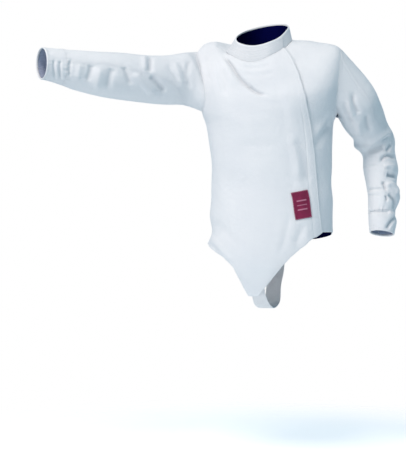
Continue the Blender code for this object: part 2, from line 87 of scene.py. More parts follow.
# Rings that saddle over the shoulders, from the armpit up to the neck seam.
# centre x, centre y, half width left and right, front depth, back depth, squareness,
# then the height at the front and every 45 degrees on round the wearer's left
SHOULDERS = (
    (0.0150, 0.020, 0.191, 0.187, 0.126, 0.125, 2.2,
     -0.173, -0.176, -0.178, -0.177, -0.173, -0.168, -0.162, -0.170),
    (0.0120, 0.020, 0.218, 0.190, 0.122, 0.125, 2.5,
     -0.141, -0.123, -0.095, -0.104, -0.117, -0.090, -0.078, -0.114),
    (0.0100, 0.018, 0.2095, 0.196, 0.111, 0.115, 2.3,
     -0.112, -0.075, -0.006, -0.028, -0.060, -0.012, 0.006, -0.058),
    (0.0030, 0.009, 0.147, 0.143, 0.096, 0.098, 2.1,
     -0.068, -0.042, 0.014, 0.018, 0.000, 0.026, 0.028, -0.034),
    (-0.0045, 0.000, 0.091, 0.091, 0.079, 0.078, 2.0,
     -0.0418, -0.019, 0.020, 0.030, 0.028, 0.018, 0.002, -0.0185),
)

# Angle of the free edge of the flap at every half row from 5 up to the neck seam.
FLAP_EDGE = (64.6, 63.3, 62.0, 60.2, 58.8, 58.9, 59.0, 57.8, 56.2, 54.7, 53.1, 51.3,
             49.1, 47.0, 43.9, 37.7, 32.6, 31.2, 32.2, 36.8, 44.2, 52.2, 61.2)

# Distance of the placket stitching in from the free edge, at every whole row from 5 up.
PLACKET = (0.030, 0.0285, 0.0275, 0.0265, 0.025, 0.023, 0.021, 0.019, 0.017, 0.016, 0.015, 0.012)

# Lower edge of the flap panel: angle round the body and height.
FLAP_HEM = ((-86.0, -0.531), (-67.2, -0.534), (-48.0, -0.552), (-34.2, -0.568), (-22.8, -0.595),
            (-18.0, -0.635), (-15.0, -0.676), (-3.5, -0.677), (11.0, -0.676), (16.2, -0.649),
            (19.5, -0.621), (23.5, -0.591), (29.0, -0.569), (38.2, -0.545), (48.8, -0.524),
            (66.0, -0.501))

# Folds on the side that faces the viewer: rise, width, and line across and up.
FRONT_FOLDS = (
    # from the collar down across the chest, and the soft ones on the right shoulder
    (-0.0080, 0.0050, ((-0.0985, -0.012), (-0.0966, -0.0262), (-0.0869, -0.0456), (-0.0663, -0.0812),
                       (-0.0474, -0.1023), (-0.0244, -0.1213), (-0.0054, -0.1309), (0.0100, -0.1350))),
    (-0.0022, 0.0130, ((-0.0860, -0.020), (-0.0760, -0.046), (-0.0550, -0.078), (-0.0320, -0.100))),
    (0.0022, 0.0100, ((-0.118, -0.004), (-0.104, -0.040), (-0.088, -0.078), (-0.066, -0.108))),
    (0.0018, 0.0090, ((-0.076, -0.034), (-0.058, -0.068), (-0.036, -0.092), (-0.004, -0.112))),
    (-0.0035, 0.0110, ((-0.111, -0.030), (-0.106, -0.074), (-0.099, -0.139))),
    (-0.0030, 0.0100, ((-0.153, -0.001), (-0.148, -0.045), (-0.146, -0.097))),
    (0.0030, 0.0130, ((-0.164, 0.013), (-0.142, 0.022), (-0.115, 0.014))),
    (0.0018, 0.0120, ((-0.131, -0.010), (-0.127, -0.060), (-0.124, -0.120), (-0.122, -0.180))),
    # ripples under the collar and across the chest
    (-0.0016, 0.0065, ((-0.059, -0.053), (-0.017, -0.060), (0.025, -0.053))),
    (-0.0012, 0.0065, ((-0.052, -0.072), (-0.011, -0.080), (0.035, -0.073))),
    (-0.0012, 0.0100, ((-0.020, -0.150), (0.030, -0.160), (0.076, -0.152))),
    (0.0011, 0.0140, ((-0.090, -0.190), (-0.040, -0.205), (0.030, -0.200))),
    (-0.0010, 0.0120, ((-0.070, -0.262), (-0.010, -0.272), (0.050, -0.262))),
    # from the left armpit down to the flap
    (0.0032, 0.0100, ((0.1950, -0.1700), (0.1700, -0.2050), (0.1400, -0.2450))),
    (-0.0042, 0.0130, ((0.1900, -0.2050), (0.1620, -0.2400), (0.1380, -0.2800))),
    # beside the flap, below the label and along the hem at the right hip
    (-0.0045, 0.0150, ((0.088, -0.247), (0.110, -0.308), (0.116, -0.378))),
    (0.0022, 0.0130, ((0.066, -0.235), (0.090, -0.300), (0.096, -0.370))),
    (-0.0035, 0.0110, ((0.112, -0.474), (0.099, -0.506), (0.085, -0.537))),
    (-0.0020, 0.0090, ((0.072, -0.452), (0.062, -0.500), (0.046, -0.560))),
    (0.0040, 0.0110, ((-0.138, -0.512), (-0.113, -0.546), (-0.078, -0.587))),
    (-0.0040, 0.0090, ((-0.143, -0.530), (-0.116, -0.560), (-0.084, -0.597))),
    (-0.0018, 0.0110, ((-0.130, -0.470), (-0.100, -0.500), (-0.055, -0.548))),
    (0.0012, 0.0130, ((-0.125, -0.330), (-0.108, -0.380), (-0.104, -0.440))),
    # across the right sleeve, from the armhole out to the cuff
    (-0.0039, 0.0081, ((-0.193, -0.022), (-0.203, -0.064), (-0.195, -0.112))),
    (-0.0029, 0.0059, ((-0.254, -0.047), (-0.243, -0.068), (-0.222, -0.090))),
    (-0.0026, 0.0054, ((-0.222, -0.034), (-0.213, -0.062), (-0.207, -0.092))),
    (0.0026, 0.0063, ((-0.236, -0.036), (-0.228, -0.066), (-0.214, -0.104))),
    (-0.0072, 0.0090, ((-0.302, -0.078), (-0.281, -0.101), (-0.260, -0.123))),
    (0.0065, 0.0099, ((-0.346, -0.073), (-0.318, -0.103), (-0.289, -0.129))),
    (-0.0068, 0.0067, ((-0.304, -0.023), (-0.302, -0.047), (-0.302, -0.072))),
    (0.0034, 0.0072, ((-0.318, -0.020), (-0.317, -0.045), (-0.316, -0.068))),
    (-0.0052, 0.0072, ((-0.370, -0.058), (-0.361, -0.082), (-0.352, -0.110))),
    (-0.0059, 0.0090, ((-0.398, -0.065), (-0.406, -0.087), (-0.415, -0.122))),
    (-0.0059, 0.0081, ((-0.452, -0.057), (-0.456, -0.079), (-0.466, -0.105))),
    (0.0044, 0.0090, ((-0.429, -0.062), (-0.437, -0.099), (-0.444, -0.123))),
    (0.0039, 0.0081, ((-0.480, -0.058), (-0.486, -0.080), (-0.490, -0.100))),
    (-0.0042, 0.0040, ((-0.505, -0.046), (-0.508, -0.070), (-0.508, -0.096))),
    (-0.0044, 0.0036, ((-0.531, -0.052), (-0.5324, -0.072), (-0.532, -0.101))),
    (-0.0044, 0.0036, ((-0.546, -0.050), (-0.5475, -0.072), (-0.547, -0.101))),
    # down the upper part of the left sleeve, and the thick fold at the elbow
    (-0.0063, 0.0069, ((0.2455, -0.1249), (0.2436, -0.1495), (0.2518, -0.1687), (0.2628, -0.1852))),
    (0.0045, 0.0074, ((0.2299, -0.1468), (0.2381, -0.1714), (0.2491, -0.1906))),
    (-0.0050, 0.0060, ((0.2203, -0.1523), (0.2271, -0.1742), (0.2381, -0.1961), (0.2491, -0.2098))),
    (0.0050, 0.0078, ((0.2600, -0.1988), (0.2655, -0.2208), (0.2710, -0.2400))),
    (-0.0047, 0.0083, ((0.2820, -0.1797), (0.2874, -0.2071), (0.2984, -0.2290))),
    (0.0075, 0.0101, ((0.367, -0.221), (0.327, -0.242), (0.286, -0.268))),
    (-0.0052, 0.0046, ((0.3313, -0.2482), (0.3420, -0.2410), (0.3533, -0.2335))),
    (-0.0063, 0.0051, ((0.3467, -0.2784), (0.3560, -0.2675), (0.3653, -0.2557))),
    (-0.0069, 0.0074, ((0.345, -0.262), (0.320, -0.274), (0.290, -0.283))),
    # the forearm: rolls and hollows on the outer side, faint creases on the inner one
    (-0.0080, 0.0048, ((0.3280, -0.3083), (0.3368, -0.2962), (0.3505, -0.2894), (0.3642, -0.2916),
                       (0.3790, -0.2990))),
    (0.0058, 0.0066, ((0.3368, -0.3250), (0.3533, -0.3168), (0.3720, -0.3223))),
    (-0.0109, 0.0057, ((0.3450, -0.3415), (0.3587, -0.3456), (0.3800, -0.3470))),
    (-0.0080, 0.0042, ((0.3341, -0.3607), (0.3382, -0.3744), (0.3423, -0.3867))),
    (0.0065, 0.0062, ((0.3437, -0.3744), (0.3560, -0.3689), (0.3725, -0.3799), (0.3793, -0.3991))),
    (-0.0094, 0.0053, ((0.3467, -0.3941), (0.3587, -0.4045), (0.3692, -0.4166), (0.3680, -0.4429))),
    (-0.0065, 0.0035, ((0.3409, -0.3991), (0.3450, -0.4166))),
    (0.0049, 0.0070, ((0.3478, -0.4457), (0.3700, -0.4566))),
    (-0.0084, 0.0055, ((0.3750, -0.4550), (0.3560, -0.4731), (0.3428, -0.4934))),
    (-0.0020, 0.0035, ((0.2900, -0.3176), (0.3258, -0.3176))),
    (-0.0036, 0.0037, ((0.2850, -0.3829), (0.3354, -0.3829))),
    (-0.0020, 0.0035, ((0.2900, -0.3980), (0.3300, -0.4020))),
    (-0.0043, 0.0040, ((0.2880, -0.4446), (0.3579, -0.4446))),
)

# Folds of the back, in the same measures: drag lines from the raised arm, hollows
# beside the shoulder blades, and slack above the waist.
BACK_FOLDS = (
    (-0.0050, 0.0110, ((-0.170, -0.085), (-0.120, -0.120), (-0.060, -0.170), (-0.010, -0.235))),
    (0.0035, 0.0130, ((-0.165, -0.115), (-0.110, -0.155), (-0.060, -0.215))),
    (-0.0040, 0.0100, ((-0.160, -0.150), (-0.115, -0.195), (-0.085, -0.260))),
    (-0.0030, 0.0120, ((-0.100, 0.000), (-0.075, -0.045), (-0.030, -0.075))),
    (-0.0035, 0.0120, ((0.160, -0.060), (0.130, -0.110), (0.118, -0.180))),
    (0.0028, 0.0120, ((0.135, -0.040), (0.105, -0.100), (0.095, -0.170))),
    (-0.0045, 0.0120, ((-0.130, -0.330), (-0.070, -0.345), (-0.010, -0.335), (0.050, -0.345))),
    (0.0034, 0.0130, ((-0.110, -0.362), (-0.040, -0.374), (0.040, -0.368))),
    (-0.0040, 0.0110, ((-0.090, -0.395), (-0.020, -0.405), (0.090, -0.392))),
    (-0.0030, 0.0110, ((0.130, -0.290), (0.090, -0.330), (0.070, -0.372))),
    (-0.0032, 0.0110, ((-0.120, -0.430), (-0.080, -0.460), (-0.060, -0.505))),
    (-0.0030, 0.0110, ((0.120, -0.425), (0.100, -0.460), (0.090, -0.500))),
    (-0.0035, 0.0100, ((-0.230, -0.030), (-0.270, -0.075), (-0.290, -0.120))),
    (0.0030, 0.0110, ((-0.330, -0.030), (-0.350, -0.070), (-0.360, -0.120))),
    (-0.0035, 0.0090, ((-0.400, -0.035), (-0.410, -0.075), (-0.405, -0.110))),
    (-0.0030, 0.0070, ((-0.480, -0.035), (-0.485, -0.070), (-0.480, -0.100))),
    (-0.0045, 0.0100, ((0.255, -0.110), (0.270, -0.160), (0.300, -0.205))),
    (-0.0055, 0.0090, ((0.290, -0.235), (0.330, -0.255), (0.380, -0.250))),
    (0.0040, 0.0090, ((0.290, -0.262), (0.330, -0.280), (0.380, -0.276))),
    (-0.0055, 0.0080, ((0.295, -0.300), (0.340, -0.312), (0.380, -0.302))),
    (0.0035, 0.0080, ((0.300, -0.330), (0.340, -0.338), (0.380, -0.332))),
    (-0.0050, 0.0075, ((0.295, -0.352), (0.330, -0.362), (0.380, -0.350))),
    (-0.0045, 0.0075, ((0.300, -0.398), (0.340, -0.408), (0.375, -0.402))),
    (-0.0040, 0.0070, ((0.300, -0.452), (0.330, -0.446), (0.370, -0.456))),
)


def cubic(a, b, slope_a, slope_b, f):
    """The cubic that runs from a to b as f goes from 0 to 1, with these slopes there."""
    return (a * (1 + 2 * f) * (1 - f) ** 2 + slope_a * f * (1 - f) ** 2
            + b * f * f * (3 - 2 * f) + slope_b * f * f * (f - 1))


def through(rows, at):
    """Smooth curve through the rows of a table: between two rows, the cubic that meets
    both and runs at each parallel to the line past its neighbours."""
    rows = np.asarray(rows, float)
    at = np.clip(np.asarray(at, float), 0, len(rows) - 1)
    low = np.minimum(at.astype(int), len(rows) - 2)
    slope = np.gradient(rows, axis=0)
    return cubic(rows[low], rows[low + 1], slope[low], slope[low + 1], (at - low)[..., None])


def around(values, angle):
    """Smooth closed curve through eight values set every 45 degrees."""
    place = np.mod(np.asarray(angle, float), 360.0) / 45.0
    low = np.floor(place).astype(int)
    before, a, b, after = (np.take_along_axis(values, np.mod(low + k, 8)[..., None], -1)[..., 0]
                           for k in (-1, 0, 1, 2))
    return cubic(a, b, (b - before) / 2, (after - a) / 2, place - low)


def ring(row, angle):
    """Point of a ring: a super-ellipse in plan, whose height goes round through the
    eight heights of its row."""
    s, c = np.sin(np.radians(angle)), np.cos(np.radians(angle))
    power = 2.0 / row[..., 6]
    x = row[..., 0] + np.where(s > 0, row[..., 2], row[..., 3]) * np.sign(s) * np.abs(s) ** power
    y = row[..., 1] - np.where(c > 0, row[..., 4], row[..., 5]) * np.sign(c) * np.abs(c) ** power
    return np.stack([x, y, around(row[..., 7:], angle)], axis=-1)


FORM = np.array([(x, y, wide, wide, front, back, 2.1) + (z,) * 8 for z, x, y, wide, front, back in TRUNK]
                + list(SHOULDERS))


def body(angle, row):
    """Point of the body form at an angle round it, 0 at the front and 90 at the
    wearer's left, and a row up it: the ring that lies smoothly between the table's."""
    angle, row = np.broadcast_arrays(np.asarray(angle, float), np.asarray(row, float))
    return ring(through(FORM, row), angle)


def unit(vectors):
    """Vectors divided by their own lengths."""
    return vectors / np.linalg.norm(vectors, axis=-1, keepdims=True)


def normals(surface, u, v, step_u=0.5, step_v=0.02):
    """Unit normals of a surface given by two coordinates: the cross product of its
    small steps either way."""
    return unit(np.cross(surface(u + step_u, v) - surface(u - step_u, v),
                         surface(u, v + step_v) - surface(u, v - step_v)))


def run(points, axis=0):
    """Length from the start to each point of a line, or of each line of a grid."""
    steps = np.linalg.norm(np.diff(points, axis=axis), axis=-1)
    return np.insert(steps, 0, 0.0, axis=axis).cumsum(axis=axis)


def ease(x, low, high):
    """Smooth step from 0 to 1."""
    f = np.clip((x - low) / (high - low), 0.0, 1.0)
    return f * f * (3 - 2 * f)


def folds(table, across, up):
    """Sum of the folds of a table. Each one is a smooth line through its corners. Its
    height is a bell of its width to either side of the line, and it dies away towards
    both ends."""
    height = np.zeros(across.shape)
    for rise, width, corners in table:
        spine = through(corners, np.linspace(0, len(corners) - 1, 6 * len(corners) - 5))
        (x_low, z_low), (x_high, z_high) = spine.min(0) - 3 * width, spine.max(0) + 3 * width
        near = (across > x_low) & (across < x_high) & (up > z_low) & (up < z_high)
        if not near.any():
            continue
        x, z = across[near][:, None], up[near][:, None]
        dx, dz = np.diff(spine, axis=0).T
        along = ((x - spine[:-1, 0]) * dx + (z - spine[:-1, 1]) * dz) / (dx * dx + dz * dz)
        along = np.clip(along, 0.0, 1.0)
        off = np.hypot(x - spine[:-1, 0] - along * dx, z - spine[:-1, 1] - along * dz)
        best = off.argmin(axis=1)[:, None]
        share = (best[:, 0] + np.take_along_axis(along, best, 1)[:, 0]) / len(dx)
        bell = np.exp(-(np.take_along_axis(off, best, 1)[:, 0] / width) ** 2)
        height[near] += rise * bell * (0.15 + 0.85 * ease(np.minimum(share, 1 - share), 0.0, 0.20))
    return height


def relief(points, facing):
    """How far the cloth stands off the smooth form: the front or back folds, by the
    side that it faces, and everywhere a slack of long waves with finer ones on them."""
    across = points[..., 0] * ACROSS[0] + points[..., 1] * ACROSS[1]
    towards = facing[..., 0] * ACROSS[1] - facing[..., 1] * ACROSS[0]
    height = (folds(FRONT_FOLDS, across, points[..., 2]) * np.clip(towards * 4.0, 0.0, 1.0)
              + folds(BACK_FOLDS, across, points[..., 2]) * np.clip(-towards * 4.0, 0.0, 1.0))
    x, y, z = points[..., 0], points[..., 1], points[..., 2]
    slack = (np.sin(x * 47 + z * 23 + 1.0) + np.sin(y * 61 - z * 31 + 2.1)
             + np.sin(z * 58 + x * 19 - y * 27)) * 0.00042
    fine = (np.sin(x * 173 + z * 121 + 2.0 * np.sin(z * 43))
            * np.sin(z * 205 - y * 149 + 1.5 * np.sin(x * 37)))
    return height + slack + fine * 0.00022 * (0.5 + 0.5 * np.sin(x * 29 + z * 17 + y * 31))


def side_edge(row, seam, armhole, front):
    """Angle of a side edge of a panel: the side seam below the armpit, the rim of the
    armhole between armpit and shoulder, a rounded oval, and the shoulder seam above."""
    rise = np.clip(row - (ARMPIT_ROW + SHOULDER_ROW) / 2, -1.0, 1.0)
    half = (1.0 - np.abs(rise) ** OVAL) ** (1 / OVAL) * (armhole[0] if front else armhole[1])
    outward = 1.0 if seam > 0 else -1.0
    return seam - outward * half if front else seam + outward * half


def degrees_of(angle, row, distance):
    """Turn round the body that runs this distance along its ring."""
    return distance / np.linalg.norm(body(angle + 0.5, row) - body(angle - 0.5, row), axis=-1)


def flap_edge(row):
    """Angle of the free edge of the flap at a row."""
    return through(np.array(FLAP_EDGE)[:, None], 2.0 * np.asarray(row, float) - 10.0)[..., 0]


def flap_lift(angle, row):
    """Height of the flap over the form: it rides over the underlap and the zip, then
    eases down to the form beyond them."""
    inset = (flap_edge(row) - angle) / degrees_of(angle, row, 1.0)
    return FLAP_STEP * (1 - ease(inset, *FLAP_EASE))


def row_of(height):
    """Row of the trunk whose ring lies at this height."""
    fine = np.linspace(0, len(TRUNK) - 1, 600)
    return np.interp(height, through(np.array(TRUNK)[:, :1], fine)[:, 0], fine)


def spread(start, end, row, near, far):
    """Angles of the columns of a panel. The first ones keep set distances from the
    starting edge and the last ones from the ending edge, and the rest share the width."""
    first, last = len(near), row.shape[1] - len(far)
    near_turns, far_turns = degrees_of(start, row, 1.0), degrees_of(end, row, 1.0)
    begin, finish = start + near_turns * near[-1], end - far_turns * far[0]
    share = np.concatenate([np.zeros(first), np.linspace(0, 1, last - first + 2)[1:-1], np.ones(len(far))])
    angle = begin + (finish - begin) * share
    angle[:, :first] = start[:, :first] + near_turns[:, :first] * near
    angle[:, last:] = end[:, last:] - far_turns[:, last:] * far
    return angle


def to_line(points, line):
    """Distance of each point from a line of points, and the length along the line to
    the place that is nearest, measured on the two stretches beside the nearest point."""
    flat = points.reshape(-1, 3)
    square = (flat ** 2).sum(1)[:, None] + (line ** 2).sum(1) - 2 * flat @ line.T
    nearest = square.argmin(1)
    length = run(line)
    best, along = np.full(len(flat), np.inf), np.zeros(len(flat))
    for first in (np.maximum(nearest - 1, 0), np.minimum(nearest, len(line) - 2)):
        a, d = line[first], line[first + 1] - line[first]
        f = np.clip(np.einsum("ij,ij->i", flat - a, d) / np.einsum("ij,ij->i", d, d), 0.0, 1.0)
        off = np.linalg.norm(flat - a - d * f[:, None], axis=1)
        along = np.where(off < best, length[first] + f * (length[first + 1] - length[first]), along)
        best = np.minimum(off, best)
    return best.reshape(points.shape[:-1]), along.reshape(points.shape[:-1])


def sewn(distance, along, stitching, pucker):
    """Height that the sewing gives cloth beside an edge. The edge is turned under and
    round, the folded layers stand a little proud as far as the stitching, the stitching
    sinks in, and beside it the cloth puckers in short waves."""
    turned = -0.0008 * np.exp(-(distance / 0.0009) ** 2)
    proud = 0.0004 * (1 - ease(distance, stitching, stitching + 0.0025))
    sunk = -0.00055 * np.exp(-((distance - stitching) / 0.0010) ** 2)
    wave = np.sin(along * 2 * math.pi / 0.0115 + 1.7 * np.sin(along * 2 * math.pi / 0.047))
    return turned + proud + sunk + pucker * wave * np.exp(-((distance - stitching) / 0.0065) ** 2)


def sew(outer, sewing, worn=""):
    """Height and wear that its sewn edges give a piece. Each edge adds its sewing. The
    wear fades with the distance from the nearest edge, and is stronger at a worn one."""
    edges = {"left": outer[:, 0], "right": outer[:, -1], "bottom": outer[0], "top": outer[-1]}
    height, wear = np.zeros(outer.shape[:2]), np.zeros(outer.shape[:2])
    for edge, (stitching, pucker) in sewing.items():
        distance, along = to_line(outer, edges[edge])
        height += sewn(distance, along, stitching, pucker)
        wear = np.maximum(wear, np.exp(-distance / 0.006) * (1.6 if edge == worn else 1.0))
    return height, wear


def lengths(surface, u, v, middle):
    """Lengths on a surface, along its first coordinate and along its second, from a
    middle point: measured once over a coarse grid, then read off between its points."""
    grid = surface(u[None, :], v[:, None])
    along, up = run(grid, 1), run(grid, 0)
    along -= along[:, np.abs(u - middle[0]).argmin()][:, None]
    up -= up[np.abs(v - middle[1]).argmin()]

    def read(a, b):
        i = np.clip((a - u[0]) / (u[1] - u[0]), 0, len(u) - 1.001)
        j = np.clip((b - v[0]) / (v[1] - v[0]), 0, len(v) - 1.001)
        k, m = i.astype(int), j.astype(int)
        f, g = i - k, j - m
        return [(t[m, k] * (1 - f) + t[m, k + 1] * f) * (1 - g)
                + (t[m + 1, k] * (1 - f) + t[m + 1, k + 1] * f) * g for t in (along, up)]

    return read


def quads(index):
    """Four-sided faces between the neighbours in a grid of point numbers."""
    return np.stack([index[:-1, :-1], index[:-1, 1:], index[1:, 1:], index[1:, :-1]], -1).reshape(-1, 4)


def new_piece(name, points, faces, finishes):
    """A smooth mesh of these points and faces, with its finishes, put in the scene."""
    mesh = bpy.data.meshes.new(name)
    mesh.from_pydata(points, [], faces)
    mesh.shade_smooth()
    for finish in finishes:
        mesh.materials.append(finish)
    piece = bpy.data.objects.new(name, mesh)
    bpy.context.scene.collection.objects.link(piece)
    return piece


def shell(name, outer, inner, wear, finishes, flat=None, crease_shade=None):
    """One closed piece of cloth: two grids of points joined round their edges, both
    split along the same diagonals. Its UV map is the cloth's own length across and up
    in metres, its wear attribute is 1 at the edges, and its painted crease shade is 1 at
    the bottom of a deep crease. The inside has its own finish."""
    rows, columns = outer.shape[:2]
    index = np.arange(rows * columns).reshape(rows, columns)
    face = quads(index)
    edge = np.concatenate([index[0, :-1], index[:-1, -1], index[-1, :0:-1], index[:0:-1, 0]])
    ahead, count = np.roll(edge, -1), rows * columns
    side = np.stack([ahead, edge, edge + count, ahead + count], -1)
    faces = np.concatenate([face, face[:, [0, 3, 2, 1]] + count, side])
    points = np.concatenate([outer.reshape(-1, 3), inner.reshape(-1, 3)])
    a, b, c, d = points[faces].transpose(1, 0, 2)
    if (a * (np.cross(b, c) + np.cross(c, d))).sum() < 0:
        faces = faces[:, [0, 3, 2, 1]]
    piece = new_piece(name, points, faces, finishes)
    mesh = piece.data
    if flat is None:
        across, up = run(outer, 1), run(outer, 0)
        flat = across - across[:, columns // 2:columns // 2 + 1], up - up[rows // 2]
    flat = np.tile(np.stack(flat, -1).reshape(-1, 2), (2, 1))
    mesh.uv_layers.new(name="cloth").data.foreach_set("uv", flat[faces].ravel())
    for attribute, values in (("wear", wear), ("crease_shade", crease_shade)):
        if values is not None:
            values = np.tile(values.ravel(), 2)
            mesh.attributes.new(attribute, "FLOAT", "POINT").data.foreach_set("value", values)
    if len(finishes) > 1:
        inside = np.repeat([0, 1, 0], [len(face), len(face), len(side)])
        mesh.polygons.foreach_set("material_index", inside)
    mesh.set_sharp_from_angle(angle=math.radians(60))
    return piece


def on_body(angle, row, lift):
    """Points and outward normals on the cloth of the body form: this lift over it and
    the folds, which die away at the neck seam."""
    points = body(angle, row)
    facing = normals(body, angle, row)
    folded = relief(points, facing) * (1 - ease(row, 15.3, 15.95))
    return points + facing * (lift + folded)[..., None], facing


def lay(name, angle, row, lift, thickness, sewing, finishes, rise=0.0, flat=None):
    """A piece on the body form. Its outer face stands at this lift and the folds over
    the form and carries a rise and the sewing of its edges. Its inner face is plain."""
    outer, facing = on_body(angle, row, lift)
    height, wear = sew(outer, sewing)
    # How deep the cloth lies below its lift: its deepest creases get painted shade.
    sunk = lift - ((outer - body(angle, row)) * facing).sum(-1)
    return shell(name, outer + facing * (height + rise)[..., None], outer - facing * thickness, wear,
                 finishes, flat or body_lengths(angle, row), ease(sunk, *CREASE_SHADE))


body_lengths = lengths(body, np.linspace(-130.0, 400.0, 531), np.linspace(0.0, 16.0, 321), (0.0, 6.0))


class Wave:
    """A number that changes over a surface, as a socket of a shader. Python's own
    + - and * on it add Math nodes."""

    def __init__(self, finish, socket):
        self.finish, self.socket = finish, socket

    def maths(self, operation, *values):
        return self.finish.add("ShaderNodeMath", {"operation": operation}, dict(enumerate(values)))

    def __add__(self, other):
        return self.maths("ADD", self, other)

    __radd__ = __add__

    def __sub__(self, other):
        return self.maths("SUBTRACT", self, other)

    def __rsub__(self, other):
        return self.maths("SUBTRACT", other, self)

    def __mul__(self, other):
        return self.maths("MULTIPLY", self, other)

    __rmul__ = __mul__

    def wave(self, pitch):
        """Sine that goes through one turn in each pitch."""
        return self.maths("SINE", self * (2 * math.pi / pitch))

    def size(self):
        return self.maths("ABSOLUTE", self)

    def above(self, low, high):
        """0 below the low value, 1 over the high one, and smooth between them."""
        return self.finish.add("ShaderNodeMapRange", {"interpolation_type": "SMOOTHSTEP"},
                               {"Value": self, "From Min": low, "From Max": high})


class Finish:
    """A finish for cloth: a material with one Principled shader, whose fixed values are
    set on its own sockets."""

    def __init__(self, name, **fixed):
        self.material = bpy.data.materials.new(name)
        self.material.use_nodes = True
        self.tree = self.material.node_tree
        self.shader = self.tree.nodes["Principled BSDF"]
        for socket, value in fixed.items():
            self.shader.inputs[socket.replace("_", " ")].default_value = value

    def add(self, kind, settings, values, output=0):
        """One node: its settings first, then the values or links of its sockets."""
        node = self.tree.nodes.new(kind)
        for setting, value in settings.items():
            setattr(node, setting, value)
        self.feed(node, values)
        return Wave(self, node.outputs[output])

    def feed(self, node, values):
        for socket, value in values.items():
            if isinstance(value, Wave):
                self.tree.links.new(value.socket, node.inputs[socket])
            else:
                node.inputs[socket].default_value = value

    def place(self):
        """Place on the piece, in metres from the origin."""
        return self.add("ShaderNodeTexCoord", {}, {}, 3)

    def noise(self, where, scale, detail=3.0):
        return self.add("ShaderNodeTexNoise", {}, {"Vector": where, "Scale": scale, "Detail": detail})

    def blend(self, share, first, second):
        """Colour between two others by a share from 0 to 1."""
        return self.add("ShaderNodeMix", {"data_type": "RGBA"}, {0: share, 6: first, 7: second}, 2)

    def cloth_lengths(self):
        """The piece's own UV map: lengths across and up the cloth, in metres."""
        uv = self.add("ShaderNodeUVMap", {"uv_map": "cloth"}, {})
        split = self.add("ShaderNodeSeparateXYZ", {}, {"Vector": uv})
        return uv, Wave(self, split.socket.node.outputs[0]), Wave(self, split.socket.node.outputs[1])

    def bump(self, height, distance, below=None):
        values = {"Strength": 1.0, "Distance": distance, "Height": height}
        if below is not None:
            values["Normal"] = below
        return self.add("ShaderNodeBump", {}, values)


def canvas(name, light, shade, soil_and_shade, pitch, rough, sheen=0.12, gloss=0.15):
    """Cotton canvas: a plain weave of two crossed sets of threads with thicker slubs,
    broad uneven whiteness, faint specks, soil along the worn edges, and painted shade in creases."""
    finish = Finish(name, Sheen_Weight=sheen, Sheen_Roughness=0.45, Specular_IOR_Level=gloss)
    uv, across, up = finish.cloth_lengths()
    place = finish.place()
    slubs, weft = (finish.noise(finish.add("ShaderNodeMapping", {}, {"Vector": uv, "Scale": scale}), 1.0)
                   for scale in ((60.0, 900.0, 1.0), (900.0, 60.0, 1.0)))
    weave = across.wave(pitch) * up.wave(pitch)
    cloudy = finish.noise(place, 7.0, 4.0)
    specks = finish.noise(place, 420.0, 2.0).above(0.66, 0.74)
    wear, crease_shade = (finish.add("ShaderNodeAttribute", {"attribute_name": name}, {}, 2)
                    for name in ("wear", "crease_shade"))
    uneven = (slubs + weft - 1.0).size() * 0.22 + specks * 0.10 + (1 - weave) * 0.03
    tone = finish.blend(cloudy.above(0.35, 0.68), shade, light)
    tone = finish.blend(uneven, tone, soil_and_shade)
    tone = finish.blend(wear * cloudy.above(0.30, 0.75) * 0.20, tone, soil_and_shade)
    # Painted shade: the bottoms of deep creases are darkened towards the soil colour.
    tone = finish.blend(crease_shade * 0.42, tone, soil_and_shade)
    crumple = finish.bump(finish.noise(place, 95.0, 5.0), 0.0009)
    threads = finish.bump(weave * 0.5 + (slubs + weft) * 0.8, 0.00022, crumple)
    finish.feed(finish.shader, {"Base Color": tone, "Roughness": 0.80 + rough * cloudy, "Normal": threads})
    return finish.material


cotton = canvas("white cotton canvas", (0.865, 0.872, 0.885, 1), (0.820, 0.832, 0.852, 1),
                (0.50, 0.52, 0.55, 1), 0.0009, 0.12)
body_lining = canvas("navy lining cloth", (0.002, 0.003, 0.055, 1), (0.001, 0.002, 0.038, 1),
                     (0.008, 0.008, 0.07, 1), 0.0006, 0.10, 0.0, 0.0)

# Distances of the columns beside a sewn edge, which are close enough for its stitching.
EDGE_STEPS = (0.0, 0.0006, 0.0013, 0.0022, 0.0031, 0.0039, 0.0046, 0.0053, 0.0060, 0.0068, 0.0078,
              0.0092, 0.0110)


def panel_rows(hem_row, steps, count, upper):
    """Rows of a panel, one column per hem point. From the hem up they start at set
    distances above it, then run evenly to the waist ring and on up the shared rows."""
    above = hem_row[None, :] + np.asarray(steps)[:, None] / 0.045
    f = np.linspace(0.0, 1.0, count + 1)[1:-1, None]
    low = above[-1:] * (1 - f) + WAIST_ROW * f
    return np.concatenate([above, low, np.repeat(upper[:, None], len(hem_row), axis=1)])


def upper_rows(below, inside, above):
    """Rows above the waist: even up to the armpit, crowded at both ends of the armhole,
    and even to the neck seam, where they crowd again for the sewing."""
    turn = np.linspace(-math.pi / 2, math.pi / 2, inside + 1)
    top = SHOULDER_ROW + (NECK_ROW - SHOULDER_ROW) * np.linspace(0.0, 1.0, above + 1)[1:] ** 0.75
    return np.concatenate([np.linspace(WAIST_ROW, ARMPIT_ROW, below + 1)[:-1],
                           (ARMPIT_ROW + SHOULDER_ROW) / 2 + np.sin(turn), top])


def placket_line(row):
    """Distance of the placket stitching in from the free edge of the flap at a row."""
    return through(np.array(PLACKET)[:, None], row - 5.0)[..., 0]


# Stitching and pucker of each edge of a body panel.
PANEL_SEWING = {"left": (0.0050, 0.0002), "right": (0.0050, 0.0002), "bottom": (0.0065, 0.0003),
                "top": (0.0040, 0.0002)}

# The columns near the free edge: ten that follow the placket stitching, which are set
# for the distance it has at the waist, then the ones of the edge itself.
PLACKET_MIDDLE = 0.026
FOLLOW = np.array([0.3, 0.5, 0.8, 1, 1, 1, 1, 1, 1, 1])
FLAP_COLUMNS = 118

